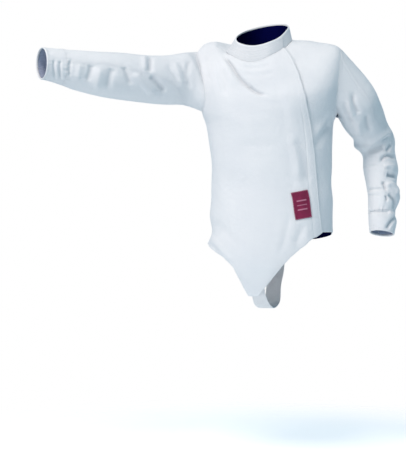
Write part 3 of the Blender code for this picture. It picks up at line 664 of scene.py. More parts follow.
UPPER = upper_rows(92, 66, 34)
placket_steps = PLACKET_MIDDLE + np.array([0.0025, 0.0016, 0.0008, 0.0, -0.0008, -0.0016, -0.0025])
flap_steps = np.concatenate([[0.046, 0.042, 0.038], placket_steps, [0.0195, 0.016, 0.0135],
                             EDGE_STEPS[::-1]])
hem_row = np.full((1, len(EDGE_STEPS) + FLAP_COLUMNS + len(flap_steps)), 5.0)
hem_angle = spread(np.full(hem_row.shape, SEAM_RIGHT), flap_edge(hem_row), hem_row, EDGE_STEPS, flap_steps)
hem_angle = np.clip(hem_angle[0], FLAP_HEM[0][0], FLAP_HEM[-1][0])
row = panel_rows(row_of(np.interp(hem_angle, *np.array(FLAP_HEM).T)), EDGE_STEPS, 44, UPPER)
edge = flap_edge(row)
start = side_edge(row, SEAM_RIGHT, ARMHOLE_RIGHT, True)
angle = spread(start + degrees_of(start, row, SEAM / 2), edge, row, EDGE_STEPS, flap_steps)
beside = slice(-len(flap_steps), -len(flap_steps) + len(FOLLOW))
shift = FOLLOW * (placket_line(row[:, beside]) - PLACKET_MIDDLE)
angle[:, beside] -= degrees_of(edge, row, 1.0)[:, beside] * shift
off = (edge - angle) / degrees_of(angle, row, 1.0) - placket_line(row)
sink = -0.0007 * np.exp(-(off / 0.0011) ** 2) + 0.0005 * ease(-off, 0.0, 0.003)
front_right = lay("flap_panel", angle, row, flap_lift(angle, row), CLOTH,
                  PANEL_SEWING | {"right": (0.0060, 0.00022)}, (cotton, body_lining), sink)
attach(front_right, "root")
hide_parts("front_right")


# Left front: a narrower panel of the same canvas that runs on under the flap, from the
# underlap that carries the zip to the left side seam, with a plain turned hem.

UNDERLAP = 0.040
SEAM_LEFT = 108.0
ARMHOLE_LEFT = (35.0, 36.0)
LEFT_HEM = -0.501
LEFT_COLUMNS = 70

row = np.full(2 * len(EDGE_STEPS) + LEFT_COLUMNS, float(row_of(LEFT_HEM)))
row = panel_rows(row, EDGE_STEPS, 8, UPPER)
edge = flap_edge(row)
end = side_edge(row, SEAM_LEFT, ARMHOLE_LEFT, True)
angle = spread(edge - degrees_of(edge, row, UNDERLAP), end - degrees_of(end, row, SEAM / 2), row,
               EDGE_STEPS, EDGE_STEPS[::-1])
front_left = lay("left_front_panel", angle, row, 0.0, CLOTH, PANEL_SEWING | {"left": (0.0060, 0.0)},
                 (cotton, body_lining))
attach(front_left, "root")
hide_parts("front_left")

# Zip: a woven tape sewn on the left front under the flap, closed, with a row of moulded
# teeth down its middle. The flap hides all but its lower end.

ZIP_THICKNESS = 0.0015
ZIP_INSET = (0.034, 0.010)
TOOTH = 0.0006

row = np.concatenate([np.linspace(WAIST_ROW, ARMPIT_ROW, 90)[:-1], np.linspace(ARMPIT_ROW, 15.6, 70)])
row = row[:, None] + np.zeros(15)
inset = np.linspace(*ZIP_INSET, 15)
edge = flap_edge(row)
angle = edge - degrees_of(edge, row, 1.0) * inset
ridge = np.exp(-((inset - sum(ZIP_INSET) / 2) / 0.0018) ** 2)
teeth = ridge * (np.arange(len(row)) % 2 == 0)[:, None]
tape = canvas("zip tape", (0.66, 0.68, 0.72, 1), (0.60, 0.62, 0.66, 1), (0.40, 0.41, 0.44, 1), 0.0008, 0.05)
zip_tape = lay("zip_tape", angle, row, SEAM + ZIP_THICKNESS - TOOTH + TOOTH * teeth, ZIP_THICKNESS - 0.0007,
               {}, (tape,))
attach(zip_tape, "root")
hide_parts("zip")

# Back: one panel of canvas between the two side seams, cut a little longer over the
# seat and the right hip, with the same turned and stitched hem.

BACK_HEM = ((108.0, -0.503), (150.0, -0.520), (220.0, -0.532), (274.0, -0.533))
BACK_COLUMNS = 130

hem_angle = np.linspace(SEAM_LEFT, 360.0 + SEAM_RIGHT, 2 * len(EDGE_STEPS) + BACK_COLUMNS)
row = panel_rows(row_of(np.interp(hem_angle, *np.array(BACK_HEM).T)), EDGE_STEPS, 10, UPPER)
start = side_edge(row, SEAM_LEFT, ARMHOLE_LEFT, False)
end = side_edge(row, SEAM_RIGHT, ARMHOLE_RIGHT, False) + 360.0
angle = spread(start + degrees_of(start, row, SEAM / 2), end - degrees_of(end, row, SEAM / 2), row,
               EDGE_STEPS, EDGE_STEPS[::-1])
back = lay("back_panel", angle, row, 0.0, CLOTH, PANEL_SEWING, (cotton, body_lining))
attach(back, "root")
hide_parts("back")

# Sleeves: an upper and an under panel each, sewn along the front and back of the arm and
# set into the armhole. The raised right one creases across, and the left one rolls and
# crumples from the elbow down. Each ends in a gathered cuff, and its inside is painted blue grey as shade.

# Inside of the sleeves: the white cloth given a blue grey colour, painted shade.
sleeve_inside_shade = canvas("blue grey painted shade inside the sleeves", (0.46, 0.52, 0.66, 1), (0.41, 0.47, 0.62, 1),
                       (0.28, 0.31, 0.42, 1), 0.0007, 0.10)

# centre across, away from the viewer and up, the lean of the ring from upright towards
# the wearer's left, half its length along that lean and half its width front to back
RIGHT_SLEEVE = (
    (-0.211, 0.034, -0.0755, 0.0, 0.0730, 0.062),
    (-0.262, 0.010, -0.0815, 0.0, 0.0675, 0.060),
    (-0.315, -0.018, -0.0822, 0.0, 0.0646, 0.059),
    (-0.377, -0.051, -0.0784, 0.0, 0.0638, 0.057),
    (-0.439, -0.084, -0.0768, 0.0, 0.0594, 0.053),
    (-0.4927, -0.113, -0.0705, 0.0, 0.0542, 0.047),
    (-0.534, -0.135, -0.0639, 0.0, 0.0473, 0.043),
    (-0.5829, -0.161, -0.0577, 0.0, 0.0413, 0.0405),
)
LEFT_SLEEVE = (
    (0.252, -0.028, -0.141, 35.0, 0.065, 0.058),
    (0.281, 0.008, -0.182, 46.0, 0.060, 0.055),
    (0.305, 0.040, -0.2175, 55.0, 0.053, 0.052),
    (0.3195, 0.060, -0.250, 76.0, 0.057, 0.054),
    (0.332, 0.059, -0.281, 85.0, 0.0455, 0.048),
    (0.3365, 0.051, -0.327, 90.0, 0.0480, 0.050),
    (0.3365, 0.042, -0.368, 90.0, 0.0425, 0.046),
    (0.3430, 0.034, -0.406, 90.0, 0.0445, 0.047),
    (0.3350, 0.027, -0.447, 90.0, 0.0365, 0.039),
    (0.3370, 0.020, -0.473, 90.0, 0.0385, 0.040),
    (0.3345, 0.013, -0.504, 98.0, 0.0340, 0.035),
)

# Angle of the front seam round each sleeve, at the armhole and at each of its rings.
RIGHT_SEAM = (176.0, 171.0, 109.0, 86.0, 80.0, 68.0, 75.0, 78.0, 79.0)
LEFT_SEAM = (45.0, 77.0, 81.0, 50.0, 45.0, 70.0, 84.0, 89.0, 95.0, 92.0, 89.0, 89.0)
BACK_SEAM = -100.0
RIGHT_CUFF = 7.0
LEFT_CUFF = 9.0


# The axes of the picture: across it, away from the viewer, and up.
R = np.array([ACROSS[0], ACROSS[1], 0.0])
F = np.array([-ACROSS[1], ACROSS[0], 0.0])
U = np.array([0.0, 0.0, 1.0])


def armhole_line(seam, armhole, turn):
    """Angle and row of the rim of an armhole at angles round the sleeve, 0 at the
    shoulder point and 90 at the front: the rounded oval between the two side edges."""
    s, c = np.sin(np.radians(turn)), np.cos(np.radians(turn))
    half = np.where(s > 0, armhole[0], armhole[1]) * (1.0 - np.abs(c) ** OVAL) ** (1 / OVAL) * np.sign(s)
    return seam - half if seam > 0 else seam + half, (ARMPIT_ROW + SHOULDER_ROW) / 2 + c


def sleeve(seam, armhole, outward, stations):
    """Surface of a sleeve: smooth through the rim of the armhole, a little off it, and
    the ellipses round the arm. Gives a function of the angle round and the station along."""
    table = np.array(stations)
    centres = table[:, :1] * R + table[:, 1:2] * F + table[:, 2:3] * U
    lean = np.radians(table[:, 3:4])
    first = np.cos(lean) * U + np.sin(lean) * R
    second = unit(np.cross(np.gradient(centres, axis=0), first))
    second *= np.sign(-(second @ F))[:, None]

    def point(turn, station):
        turn, station = np.broadcast_arrays(np.asarray(turn, float), np.asarray(station, float))
        s, c = np.sin(np.radians(turn))[..., None], np.cos(np.radians(turn))[..., None]
        rings = [body(*armhole_line(seam, armhole, turn)) + outward]
        rings += [centres[k] + table[k, 4] * c * first[k] + table[k, 5] * s * second[k]
                  for k in range(len(table))]
        rings = np.stack(rings)
        slope = np.gradient(rings, axis=0)
        low = np.clip(station.astype(int), 0, len(rings) - 2)
        ends = [np.take_along_axis(grid, pick, 0)[0] for grid in (rings, slope)
                for pick in (low[None, ..., None], low[None, ..., None] + 1)]
        return cubic(*ends, (station - low)[..., None])

    return point


right_sleeve = sleeve(SEAM_RIGHT, ARMHOLE_RIGHT, np.array([-0.0009, -0.0006, 0.0]), RIGHT_SLEEVE)
left_sleeve = sleeve(SEAM_LEFT, ARMHOLE_LEFT, np.array([0.0013, 0.0004, 0.0]), LEFT_SLEEVE)


def outward_of(surface, turn, station, points):
    """Unit normals of a sleeve, turned so that they point away from the arm."""
    facing = normals(surface, turn, station, 1.0)
    middle = surface(np.array([0.0, 90.0, 180.0, 270.0])[:, None], station.ravel()[None, :]).mean(axis=0)
    return facing * np.sign((facing * (points - middle.reshape(points.shape))).sum())


def gathers(turn, station, cuff, last):
    """Small gathers where the sleeve is drawn in: waves round the arm that are strongest
    at the cuff seam, and lower ones at the armhole and the wrist edge."""
    turn = np.radians(turn)
    wave = np.sin(turn * 19 + 1.3 * np.sin(turn * 4)) * (0.6 + 0.4 * np.sin(turn * 3 + 1))
    return wave * (0.0012 * np.exp(-((station - cuff) / 0.16) ** 2) + 0.0004 * np.exp(-(station / 0.25) ** 2)
                   + 0.0003 * np.exp(-((station - last) / 0.3) ** 2))


def sleeve_seam(surface, table, stations, side, inset=0.0):
    """Line of a seam along a sleeve, half a gap and an inset to one side of it,
    measured square to the line."""
    turn = through(np.array(table)[:, None], stations)[..., 0]
    line = unit(np.gradient(surface(turn, stations), stations, axis=0))
    degree = (surface(turn + 1.0, stations) - surface(turn - 1.0, stations)) / 2
    return turn + side * (SEAM + inset) / np.linalg.norm(np.cross(degree, line), axis=-1)


def sleeve_piece(name, surface, seams, stations, count, cuff, last, sewing, worn=""):
    """A panel of a sleeve between two seam lines. Its columns crowd beside the seams,
    and it carries the folds, the gathers and the sewing of its edges."""
    low, high = (sleeve_seam(surface, line, stations, side) for line, side in seams)
    low_degree, high_degree = (
        np.linalg.norm(surface(line + 0.5, stations) - surface(line - 0.5, stations), axis=-1)[:, None]
        for line in (low, high))
    steps = np.array(EDGE_STEPS)
    near, far = low[:, None] + steps / low_degree, high[:, None] - steps[::-1] / high_degree
    share = np.linspace(0.0, 1.0, count + 2)[1:-1]
    turn = np.concatenate([near, near[:, -1:] + (far[:, :1] - near[:, -1:]) * share, far], axis=1)
    station = stations[:, None] + np.zeros(turn.shape[1])
    points = surface(turn, station)
    facing = outward_of(surface, turn, station, points)
    rise = relief(points, facing)
    outer = points + facing * (rise + gathers(turn, station, cuff, last))[..., None]
    height, wear = sew(outer, sewing, worn)
    sleeve_lengths = lengths(surface, np.linspace(-115.0, 275.0, 391), np.linspace(0.0, last, 20 * last + 1),
                             (0.0, 1.0))
    # The cloth's inward folds give the mask of painted crease shade.
    return shell(name, outer + facing * height[..., None], outer - facing * CLOTH, wear,
                 (cotton, sleeve_inside_shade), sleeve_lengths(turn, station), ease(-rise, *CREASE_SHADE))


# How the stations crowd at the armhole and at each edge that is sewn round the arm, and
# the stitching and pucker of a sleeve panel and of a cuff.
ROOT_STEPS = np.array([0.0, 0.015, 0.04, 0.07, 0.10, 0.13, 0.17, 0.21, 0.26, 0.31, 0.37, 0.43])
ROUND_STEPS = np.array([0.0, 0.015, 0.03, 0.05, 0.07, 0.09, 0.115, 0.14, 0.17])
SLEEVE_SEWING = {"left": (0.0045, 0.0003), "right": (0.0045, 0.0003), "bottom": (0.0050, 0.0003),
                 "top": (0.0040, 0.0004)}
CUFF_SEWING = {"bottom": (0.0030, 0.0003), "top": (0.0075, 0.0004)}

for side, surface, seam, cuff in (("right", right_sleeve, RIGHT_SEAM, RIGHT_CUFF),
                                  ("left", left_sleeve, LEFT_SEAM, LEFT_CUFF)):
    last = len(seam) - 1
    back_line, round_line = [BACK_SEAM] * (last + 1), [BACK_SEAM + 360.0] * (last + 1)
    stations = np.concatenate([ROOT_STEPS, np.linspace(0.5, cuff - 0.2, int((cuff - 0.7) * 21)),
                               cuff - 0.003 - ROUND_STEPS[::-1]])
    top = sleeve_piece(side + "_sleeve_top", surface, ((back_line, 1), (seam, -1)), stations, 66,
                       cuff, last, SLEEVE_SEWING)
    under = sleeve_piece(side + "_sleeve_under", surface, ((seam, 1), (round_line, -1)), stations, 56,
                         cuff, last, SLEEVE_SEWING)
    stations = np.concatenate([cuff + 0.003 + ROUND_STEPS,
                               np.linspace(cuff + 0.2, last - 0.2, int((last - cuff) * 20)),
                               last - ROUND_STEPS[::-1]])
    cuff_piece = sleeve_piece(side + "_cuff", surface, ((back_line, 1), (round_line, -1)), stations, 150,
                              cuff, last, CUFF_SEWING, "top")
    for piece, node in ((top, "sleeve_%s_top"), (under, "sleeve_%s_under"), (cuff_piece, "cuff_%s")):
        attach(piece, "root")
        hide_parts(node % side)

# Collar: one stand-up band from its end on the flap, round the right side and the back,
# to its end on the underlap. It is stiffened by rows of stitching, faced with navy
# inside, and its rim is bound with a folded white strip.

COLLAR_HEIGHT = 0.043
LINING = 0.0010
COLLAR_ROWS = (0.10, 0.27, 0.44, 0.61, 0.78)

# The rim, in the columns of the shoulder rings.
COLLAR_TOP = (0.0035, -0.001, 0.0745, 0.0745, 0.0700, 0.0700, 2.0,
              0.0005, 0.0170, 0.052, 0.073, 0.077, 0.064, 0.040, 0.0135)


def collar_surface(angle, height):
    """Point and outward normal of the collar: straight up from the neck seam to the rim.
    Its end on the flap is lifted with the flap."""
    angle, height = np.broadcast_arrays(np.asarray(angle, float), np.asarray(height, float))
    top_row = np.full(angle.shape, NECK_ROW)
    lift = np.where(angle > -60.0, flap_lift(angle, top_row), 0.0)[..., None]
    base = body(angle, top_row) + normals(body, angle, top_row - 0.02, 0.5, 0.02) * lift
    top = ring(np.broadcast_to(np.array(COLLAR_TOP), angle.shape + (len(COLLAR_TOP),)), angle)
    plan = np.stack([np.sin(np.radians(angle)), -np.cos(np.radians(angle)), 0 * angle], axis=-1)
    return base + (top + plan * lift - base) * height[..., None], plan


def collar_facing(angle, height):
    """Outward normals of the collar from small steps along and up it."""
    along = collar_surface(angle + 0.5, height)[0] - collar_surface(angle - 0.5, height)[0]
    rise = collar_surface(angle, height + 0.05)[0] - collar_surface(angle, height - 0.05)[0]
    facing = np.cross(along, rise)
    facing /= np.linalg.norm(facing, axis=-1, keepdims=True)
    plan = collar_surface(angle, height)[1]
    return facing * np.sign(np.einsum("...k,...k->...", facing, plan))[..., None]


tip = float(flap_edge(NECK_ROW))
under_end = tip - float(degrees_of(tip, NECK_ROW, UNDERLAP)) - 360.0
bottom = SEAM / COLLAR_HEIGHT
angle, height = np.meshgrid(np.linspace(tip, under_end, 420), np.linspace(bottom, 1.0, 46))
points, facing = collar_surface(angle, height)[0], collar_facing(angle, height)
quilted = sum(-0.0004 * np.exp(-((height - place) * COLLAR_HEIGHT / 0.0010) ** 2) for place in COLLAR_ROWS)
padded = 0.0002 * np.sin((height - COLLAR_ROWS[0]) / 0.17 * math.pi) ** 2
ends = to_line(points, points[:, 0])[0]
quilted += sewn(ends, height * COLLAR_HEIGHT, 0.0050, 0.0001) - 0.0006 * np.exp(-(height * COLLAR_HEIGHT / 0.0010) ** 2)
outer = points + facing * (quilted + padded)[..., None]
# The collar's canvas is the white cotton made greyer: painted shade over the whole collar band.
collar_shaded_cotton = canvas("collar canvas with painted shade", (0.775, 0.785, 0.800, 1), (0.725, 0.740, 0.762, 1), (0.46, 0.48, 0.52, 1),
                      0.0009, 0.12)
collar = shell("collar_band", outer, points - facing * CLOTH, np.exp(-ends / 0.006) + ease(height, 0.75, 1.0) * 0.5,
               (collar_shaded_cotton,))
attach(collar, "root")
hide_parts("collar")

turns = np.linspace(tip, under_end, 300)
angle, height = np.meshgrid(turns[turns < under_end + 358.5], np.linspace(bottom, 0.97, 24))
points, facing = collar_surface(angle, height)[0], collar_facing(angle, height)
puff = 0.0003 * np.sin((height - COLLAR_ROWS[0]) / 0.17 * math.pi) ** 2
outer, inner = points - facing * (CLOTH + SEAM), points - facing * (CLOTH + SEAM + LINING + puff[..., None])
collar_lining = shell("collar_facing", outer, inner, ease(height, 0.8, 0.97), (body_lining,))
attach(collar_lining, "root")
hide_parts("collar_lining")


def swept(name, path, facing, outline, finish):
    """A strip carried along a path: at each point its outline is set out to the side
    and along the normal. Both ends are closed with a fan of faces."""
    ahead = np.gradient(path, axis=0)
    ahead /= np.linalg.norm(ahead, axis=1, keepdims=True)
    side = np.cross(ahead, facing)
    side /= np.linalg.norm(side, axis=1, keepdims=True)
    up = np.cross(side, ahead)
    grid = path[:, None] + outline[:, :1] * side[:, None] + outline[:, 1:] * up[:, None]
    rows, columns = grid.shape[:2]
    index = np.arange(rows * columns).reshape(rows, columns)
    ahead_index = np.roll(index, -1, axis=1)
    face = np.stack([index[:-1], ahead_index[:-1], ahead_index[1:], index[1:]], -1).reshape(-1, 4)
    ends = np.concatenate([path[:1], path[-1:]])
    start = np.stack([index[0], np.full(columns, rows * columns), ahead_index[0]], -1)
    stop = np.stack([index[-1], ahead_index[-1], np.full(columns, rows * columns + 1)], -1)
    mesh = bpy.data.meshes.new(name)
    mesh.from_pydata(np.concatenate([grid.reshape(-1, 3), ends]), [], face.tolist() + start.tolist() + stop.tolist())
    length = np.append(0.0, np.linalg.norm(np.diff(path, axis=0), axis=1).cumsum())
    girth = np.linspace(0.0, 0.02, columns)
    flat = np.concatenate([np.stack(np.meshgrid(girth, length), -1).reshape(-1, 2), [[0.0, 0.0], [0.0, length[-1]]]])
    corners = np.concatenate([face.ravel(), start.ravel(), stop.ravel()])
    mesh.uv_layers.new(name="cloth").data.foreach_set("uv", flat[corners].ravel())
    worn = mesh.attributes.new("wear", "FLOAT", "POINT")
    worn.data.foreach_set("value", np.full(len(mesh.vertices), 0.35))
    mesh.materials.append(finish)
    mesh.shade_smooth()
    strip = bpy.data.objects.new(name, mesh)
    bpy.context.scene.collection.objects.link(strip)
    return strip


turn = np.linspace(0, 2 * math.pi, 15)[:-1]
bound = np.stack([0.0018 * np.sign(np.cos(turn)) * np.abs(np.cos(turn)) ** 0.7, 0.0034 * np.sin(turn)], -1)
turns = np.linspace(tip - 0.4, under_end + 0.4, 420)
rim = collar_surface(turns, np.ones(420))[0] - collar_facing(turns, np.ones(420)) * (CLOTH + LINING) / 2
rise = collar_surface(turns, np.ones(420))[0] - collar_surface(turns, np.full(420, 0.9))[0]
binding = swept("collar_binding", rim - rise * 0.10, rise, bound, cotton)
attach(binding, "root")

# Wrist edges: a narrow folded strip of the canvas binds the end of each sleeve.

turn = np.linspace(0, 2 * math.pi, 13)[:-1]
bound = np.stack([0.0019 * np.sign(np.cos(turn)) * np.abs(np.cos(turn)) ** 0.7, 0.0032 * np.sin(turn)], -1)
turns = np.linspace(BACK_SEAM + 0.5, BACK_SEAM + 359.5, 300)
for side, surface, last in (("right", right_sleeve, len(RIGHT_SLEEVE)), ("left", left_sleeve, len(LEFT_SLEEVE))):
    wrist, above = surface(turns, np.full(300, float(last))), surface(turns, np.full(300, last - 0.05))
    facing = outward_of(surface, turns, np.full(300, float(last)), wrist)
    rise = (wrist - above) / np.linalg.norm(wrist - above, axis=1, keepdims=True)
    path = wrist + facing * (relief(wrist, facing) - CLOTH / 2)[:, None] - rise * 0.0024
    wrist_binding = swept(side + "_cuff_binding", path, rise, bound, cotton)
    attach(wrist_binding, "root")

# Welts: a narrow folded strip of the canvas is caught in each armhole seam, and a finer
# one in the front seam of each sleeve, so that the seams stand up as pale lines.


def on_sleeve(surface, turn, station, cuff, last):
    """Points and normals on the cloth of a sleeve, folds and gathers included."""
    points = surface(turn, station)
    facing = outward_of(surface, turn, station, points)
    return points + facing * (relief(points, facing) + gathers(turn, station, cuff, last))[:, None], facing


turn = np.linspace(0, 2 * math.pi, 11)[:-1]
rounded = np.stack([np.sign(np.cos(turn)) * np.abs(np.cos(turn)) ** 0.8, np.sin(turn)], -1)
for side, surface, seam, armhole, table, cuff in (
        ("right", right_sleeve, SEAM_RIGHT, ARMHOLE_RIGHT, RIGHT_SEAM, RIGHT_CUFF),
        ("left", left_sleeve, SEAM_LEFT, ARMHOLE_LEFT, LEFT_SEAM, LEFT_CUFF)):
    turn = np.linspace(1.0, 359.0, 420)
    path, facing = on_body(*armhole_line(seam, armhole, turn), 0.0)
    path = (path + on_sleeve(surface, turn, np.zeros(420), cuff, len(table) - 1)[0]) / 2
    armhole_welt = swept(side + "_armhole_welt", path - facing * 0.0002, facing, rounded * (0.0016, 0.0012), cotton)
    stations = np.linspace(0.03, cuff - 0.02, 400)
    line = sleeve_seam(surface, table, stations, 0)
    path, facing = on_sleeve(surface, line, stations, cuff, len(table) - 1)
    sleeve_welt = swept(side + "_sleeve_welt", path - facing * 0.0003, facing, rounded * (0.0011, 0.0010), cotton)
    for welt in (armhole_welt, sleeve_welt):
        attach(welt, "root")

# Label: a small dark red woven patch on the flap above the hip, turned a little, with
# its border oversewn in pink and three plain woven bars.

LABEL_SIZE = (0.045, 0.074)
LABEL_PLACE = (39.2, -0.4285)
LABEL_TURN = math.radians(10.5)
LABEL_GAP = 0.0012
LABEL_THICKNESS = 0.0010


def on_label(a, b):
    """Angle and row of the body at lengths across and up the label from its middle."""
    row = row_of(LABEL_PLACE[1] + a * math.sin(LABEL_TURN) + b * math.cos(LABEL_TURN))
    return LABEL_PLACE[0] + degrees_of(LABEL_PLACE[0], row, a * math.cos(LABEL_TURN) - b * math.sin(LABEL_TURN)), row


a, b = np.meshgrid(np.linspace(-0.5, 0.5, 46) * LABEL_SIZE[0], np.linspace(-0.5, 0.5, 74) * LABEL_SIZE[1])
angle, row = on_label(a, b)
rim_off = np.minimum(LABEL_SIZE[0] / 2 - np.abs(a), LABEL_SIZE[1] / 2 - np.abs(b))
raised = 0.0003 * (1 - ease(rim_off, 0.0018, 0.0030)) - 0.0003 * np.exp(-(rim_off / 0.0006) ** 2)
woven = Finish("dark red woven label", Sheen_Weight=0.10, Sheen_Roughness=0.4, Specular_IOR_Level=0.3)
uv, across, up = woven.cloth_lengths()
place = woven.place()
satin = up.wave(0.0005) * across.wave(0.0009)
border = (1 - ((across.size() - LABEL_SIZE[0] / 2 + 0.0012).size()).above(0.0004, 0.0008)) \
    + (1 - ((up.size() - LABEL_SIZE[1] / 2 + 0.0012).size()).above(0.0004, 0.0008))
dashes = (across + up).wave(0.0016).above(-0.6, 0.0)
bars = (1 - across.size().above(0.0125, 0.0131)) * (
    (1 - (up - 0.012).size().above(0.0016, 0.0021)) + (1 - up.size().above(0.0009, 0.0013))
    + (1 - (up + 0.012).size().above(0.0016, 0.0021)))
red = woven.blend(woven.noise(place, 60.0).above(0.35, 0.7), (0.240, 0.010, 0.062, 1), (0.190, 0.008, 0.048, 1))
red = woven.blend(bars * 0.60, red, (0.70, 0.30, 0.42, 1))
red = woven.blend((border * dashes) * 0.85, red, (0.78, 0.34, 0.46, 1))
woven.feed(woven.shader, {"Base Color": red, "Roughness": 0.62 + 0.1 * satin,
                          "Normal": woven.bump(satin + bars * 2.0 + border * dashes * 3.0, 0.00012)})
label = lay("woven_label", angle, row, flap_lift(angle, row) + LABEL_GAP + LABEL_THICKNESS + raised,
            LABEL_THICKNESS, {}, (woven.material,), flat=(a, b))
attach(label, "root")
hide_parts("label")

# Crotch strap: flat white webbing sewn inside the point of the front and inside the
# back hem, passing under between the legs.

STRAP_WIDTH = 0.044
STRAP_THICKNESS = 0.0025
STRAP_GAP = 0.0010
STRAP_UNDER = ((0.0035, 0.000, -0.7010), (0.0050, 0.045, -0.7120), (0.0065, 0.092, -0.6960))

across = np.linspace(-0.5, 0.5, 25) * STRAP_WIDTH
sections = []
for heights, centre in (((-0.648, -0.663, -0.678), -1.5), ((-0.655, -0.615, -0.575, -0.540, -0.500), 183.0)):
    for level in heights:
        row = np.full(25, float(row_of(level)))
        angle = centre + degrees_of(centre, row, across) * (1 if centre < 90 else -1)
        sections.append(body(angle, row) - normals(body, angle, row, 0.5, 0.02) * (CLOTH + STRAP_GAP))
    if centre < 90:
        sections += [np.stack([x + across, np.full(25, y), np.full(25, z)], axis=-1) for x, y, z in STRAP_UNDER]
sections = np.array(sections).reshape(len(sections), -1)
strap = through(sections, np.linspace(0, len(sections) - 1, 200)).reshape(200, 25, 3)
facing = np.cross(np.gradient(strap, axis=1), np.gradient(strap, axis=0))
facing /= np.linalg.norm(facing, axis=-1, keepdims=True)
facing *= -np.sign(facing[100, 12, 2])
selvedge = np.exp(-((STRAP_WIDTH / 2 - np.abs(across)) / 0.0012) ** 2) * -0.0007
webbing = Finish("white webbing", Sheen_Weight=0.15, Sheen_Roughness=0.4, Specular_IOR_Level=0.3)
uv, side, length = webbing.cloth_lengths()
chevron = (length + side.wave(0.011) * 0.0008).wave(0.0016)
cloudy = webbing.noise(webbing.place(), 30.0)
ribs = side.wave(0.0022)
webbing.feed(webbing.shader, {"Base Color": webbing.blend(cloudy * 0.4 + (1 - chevron) * 0.12, (0.86, 0.87, 0.88, 1),
                                                          (0.62, 0.64, 0.67, 1)),
                              "Roughness": 0.66 + 0.1 * cloudy, "Normal": webbing.bump(chevron + ribs * 0.6, 0.00025)})
crotch_strap = shell("webbing_strap", strap + facing * selvedge[:, None], strap - facing * STRAP_THICKNESS,
                     np.zeros(strap.shape[:2]), (webbing.material,))
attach(crotch_strap, "root")
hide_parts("crotch_strap")

# Topstitching: white thread in short raised stitches, along the free edge and placket of
# the flap, the hems, the side, shoulder and armhole seams, the sleeves, cuffs and collar.

PITCH = 0.0034
STITCH = 0.0026
THREAD = 0.00042

thread = Finish("white thread", Sheen_Weight=0.2, Specular_IOR_Level=0.35)
twist = thread.noise(thread.place(), 1400.0, 2.0)
thread.feed(thread.shader, {"Base Color": thread.blend(twist, (0.86, 0.87, 0.90, 1), (0.74, 0.76, 0.80, 1)),
                            "Roughness": 0.55 + 0.2 * twist, "Normal": thread.bump(twist, 0.0001)})


def sideways(surface, u, v, distance):
    """The line moved this far to one side within its surface: the step that, by the
    surface's own slopes, runs square to the line."""
    step = 1e-3
    du = (surface(u + step, v) - surface(u - step, v)) / (2 * step)
    dv = (surface(u, v + step) - surface(u, v - step)) / (2 * step)
    line = np.gradient(surface(u, v), axis=0)
    wish = np.cross(np.cross(du, dv), line)
    wish *= distance / np.linalg.norm(wish, axis=-1, keepdims=True)
    uu, uv_, vv = (np.einsum("ij,ij->i", p, q) for p, q in ((du, du), (du, dv), (dv, dv)))
    wu, wv = np.einsum("ij,ij->i", du, wish), np.einsum("ij,ij->i", dv, wish)
    scale = uu * vv - uv_ ** 2
    return u + (wu * vv - wv * uv_) / scale, v + (wv * uu - wu * uv_) / scale


def stitches(name, rows):
    """A run of stitches along each row of points and normals. Each stitch is a short
    thread that rises from the cloth and dives back into it, thinner at both ends."""
    x = np.array([-0.5, -0.36, 0.0, 0.36, 0.5])
    round_turn = np.linspace(0, 2 * math.pi, 6)[:-1]
    thick = np.array([0.35, 0.9, 1.0, 0.9, 0.35]) * THREAD
    lifted = np.array([-0.00035, 0.00005, 0.00018, 0.00005, -0.00035])
    shape = np.stack([np.repeat(x * STITCH, 5), (thick[:, None] * np.cos(round_turn)).ravel(),
                      (lifted[:, None] + thick[:, None] * np.sin(round_turn)).ravel()], -1)
    index = np.arange(25).reshape(5, 5)
    ahead = np.roll(index, -1, axis=1)
    face = np.stack([index[:-1], ahead[:-1], ahead[1:], index[1:]], -1).reshape(-1, 4)
    grids = []
    for points, facing in rows:
        run = np.append(0.0, np.linalg.norm(np.diff(points, axis=0), axis=1).cumsum())
        at = np.arange(PITCH, run[-1] - PITCH / 2, PITCH)
        centre = np.stack([np.interp(at, run, points[:, k]) for k in range(3)], -1)
        before = np.stack([np.interp(at - STITCH / 2, run, points[:, k]) for k in range(3)], -1)
        after = np.stack([np.interp(at + STITCH / 2, run, points[:, k]) for k in range(3)], -1)
        up = np.stack([np.interp(at, run, facing[:, k]) for k in range(3)], -1)
        ahead_of = (after - before) / np.linalg.norm(after - before, axis=1, keepdims=True)
        across_of = np.cross(up, ahead_of)
        across_of /= np.linalg.norm(across_of, axis=1, keepdims=True)
        up = np.cross(ahead_of, across_of)
        grids.append(centre[:, None] + shape[:, :1] * ahead_of[:, None] + shape[:, 1:2] * across_of[:, None]
                     + shape[:, 2:] * up[:, None])
    grid = np.concatenate(grids)
    offset = np.arange(len(grid))[:, None, None] * 25
    quads = (face[None] + offset).reshape(-1, 4)
    caps = np.concatenate([(index[0, ::-1][None] + offset[:, 0]), (index[-1][None] + offset[:, 0])])
    mesh = bpy.data.meshes.new(name)
    mesh.from_pydata(grid.reshape(-1, 3), [], quads.tolist() + caps.tolist())
    mesh.materials.append(thread.material)
    mesh.shade_smooth()
    piece = bpy.data.objects.new(name, mesh)
    bpy.context.scene.collection.objects.link(piece)
    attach(piece, "root")
    return piece


rows = np.linspace(5.1, 15.95, 500)
flap_rows = []
for inset in (np.full(500, 0.0060), through(np.array(PLACKET)[:, None], rows - 5.0)[:, 0]):
    turn = flap_edge(rows) - degrees_of(flap_edge(rows), rows, 1.0) * inset
    points, facing = on_body(turn, rows, flap_lift(turn, rows))
    flap_rows.append((points - facing * 0.00010, facing))
hem = np.linspace(-85.5, 65.0, 500)
hem_row = row_of(np.interp(hem, *np.array(FLAP_HEM).T))
turn, hem_row = sideways(body, hem, hem_row, 0.0065)
flap_rows.append(on_body(turn, hem_row, flap_lift(turn, hem_row) - 0.0001))
left = np.linspace(67.0, 107.0, 120)
turn, row = sideways(body, left, np.full(120, float(row_of(LEFT_HEM))), 0.0065)
flap_rows.append(on_body(turn, row, -0.0001))
stitches("topstitching_fronts", flap_rows)

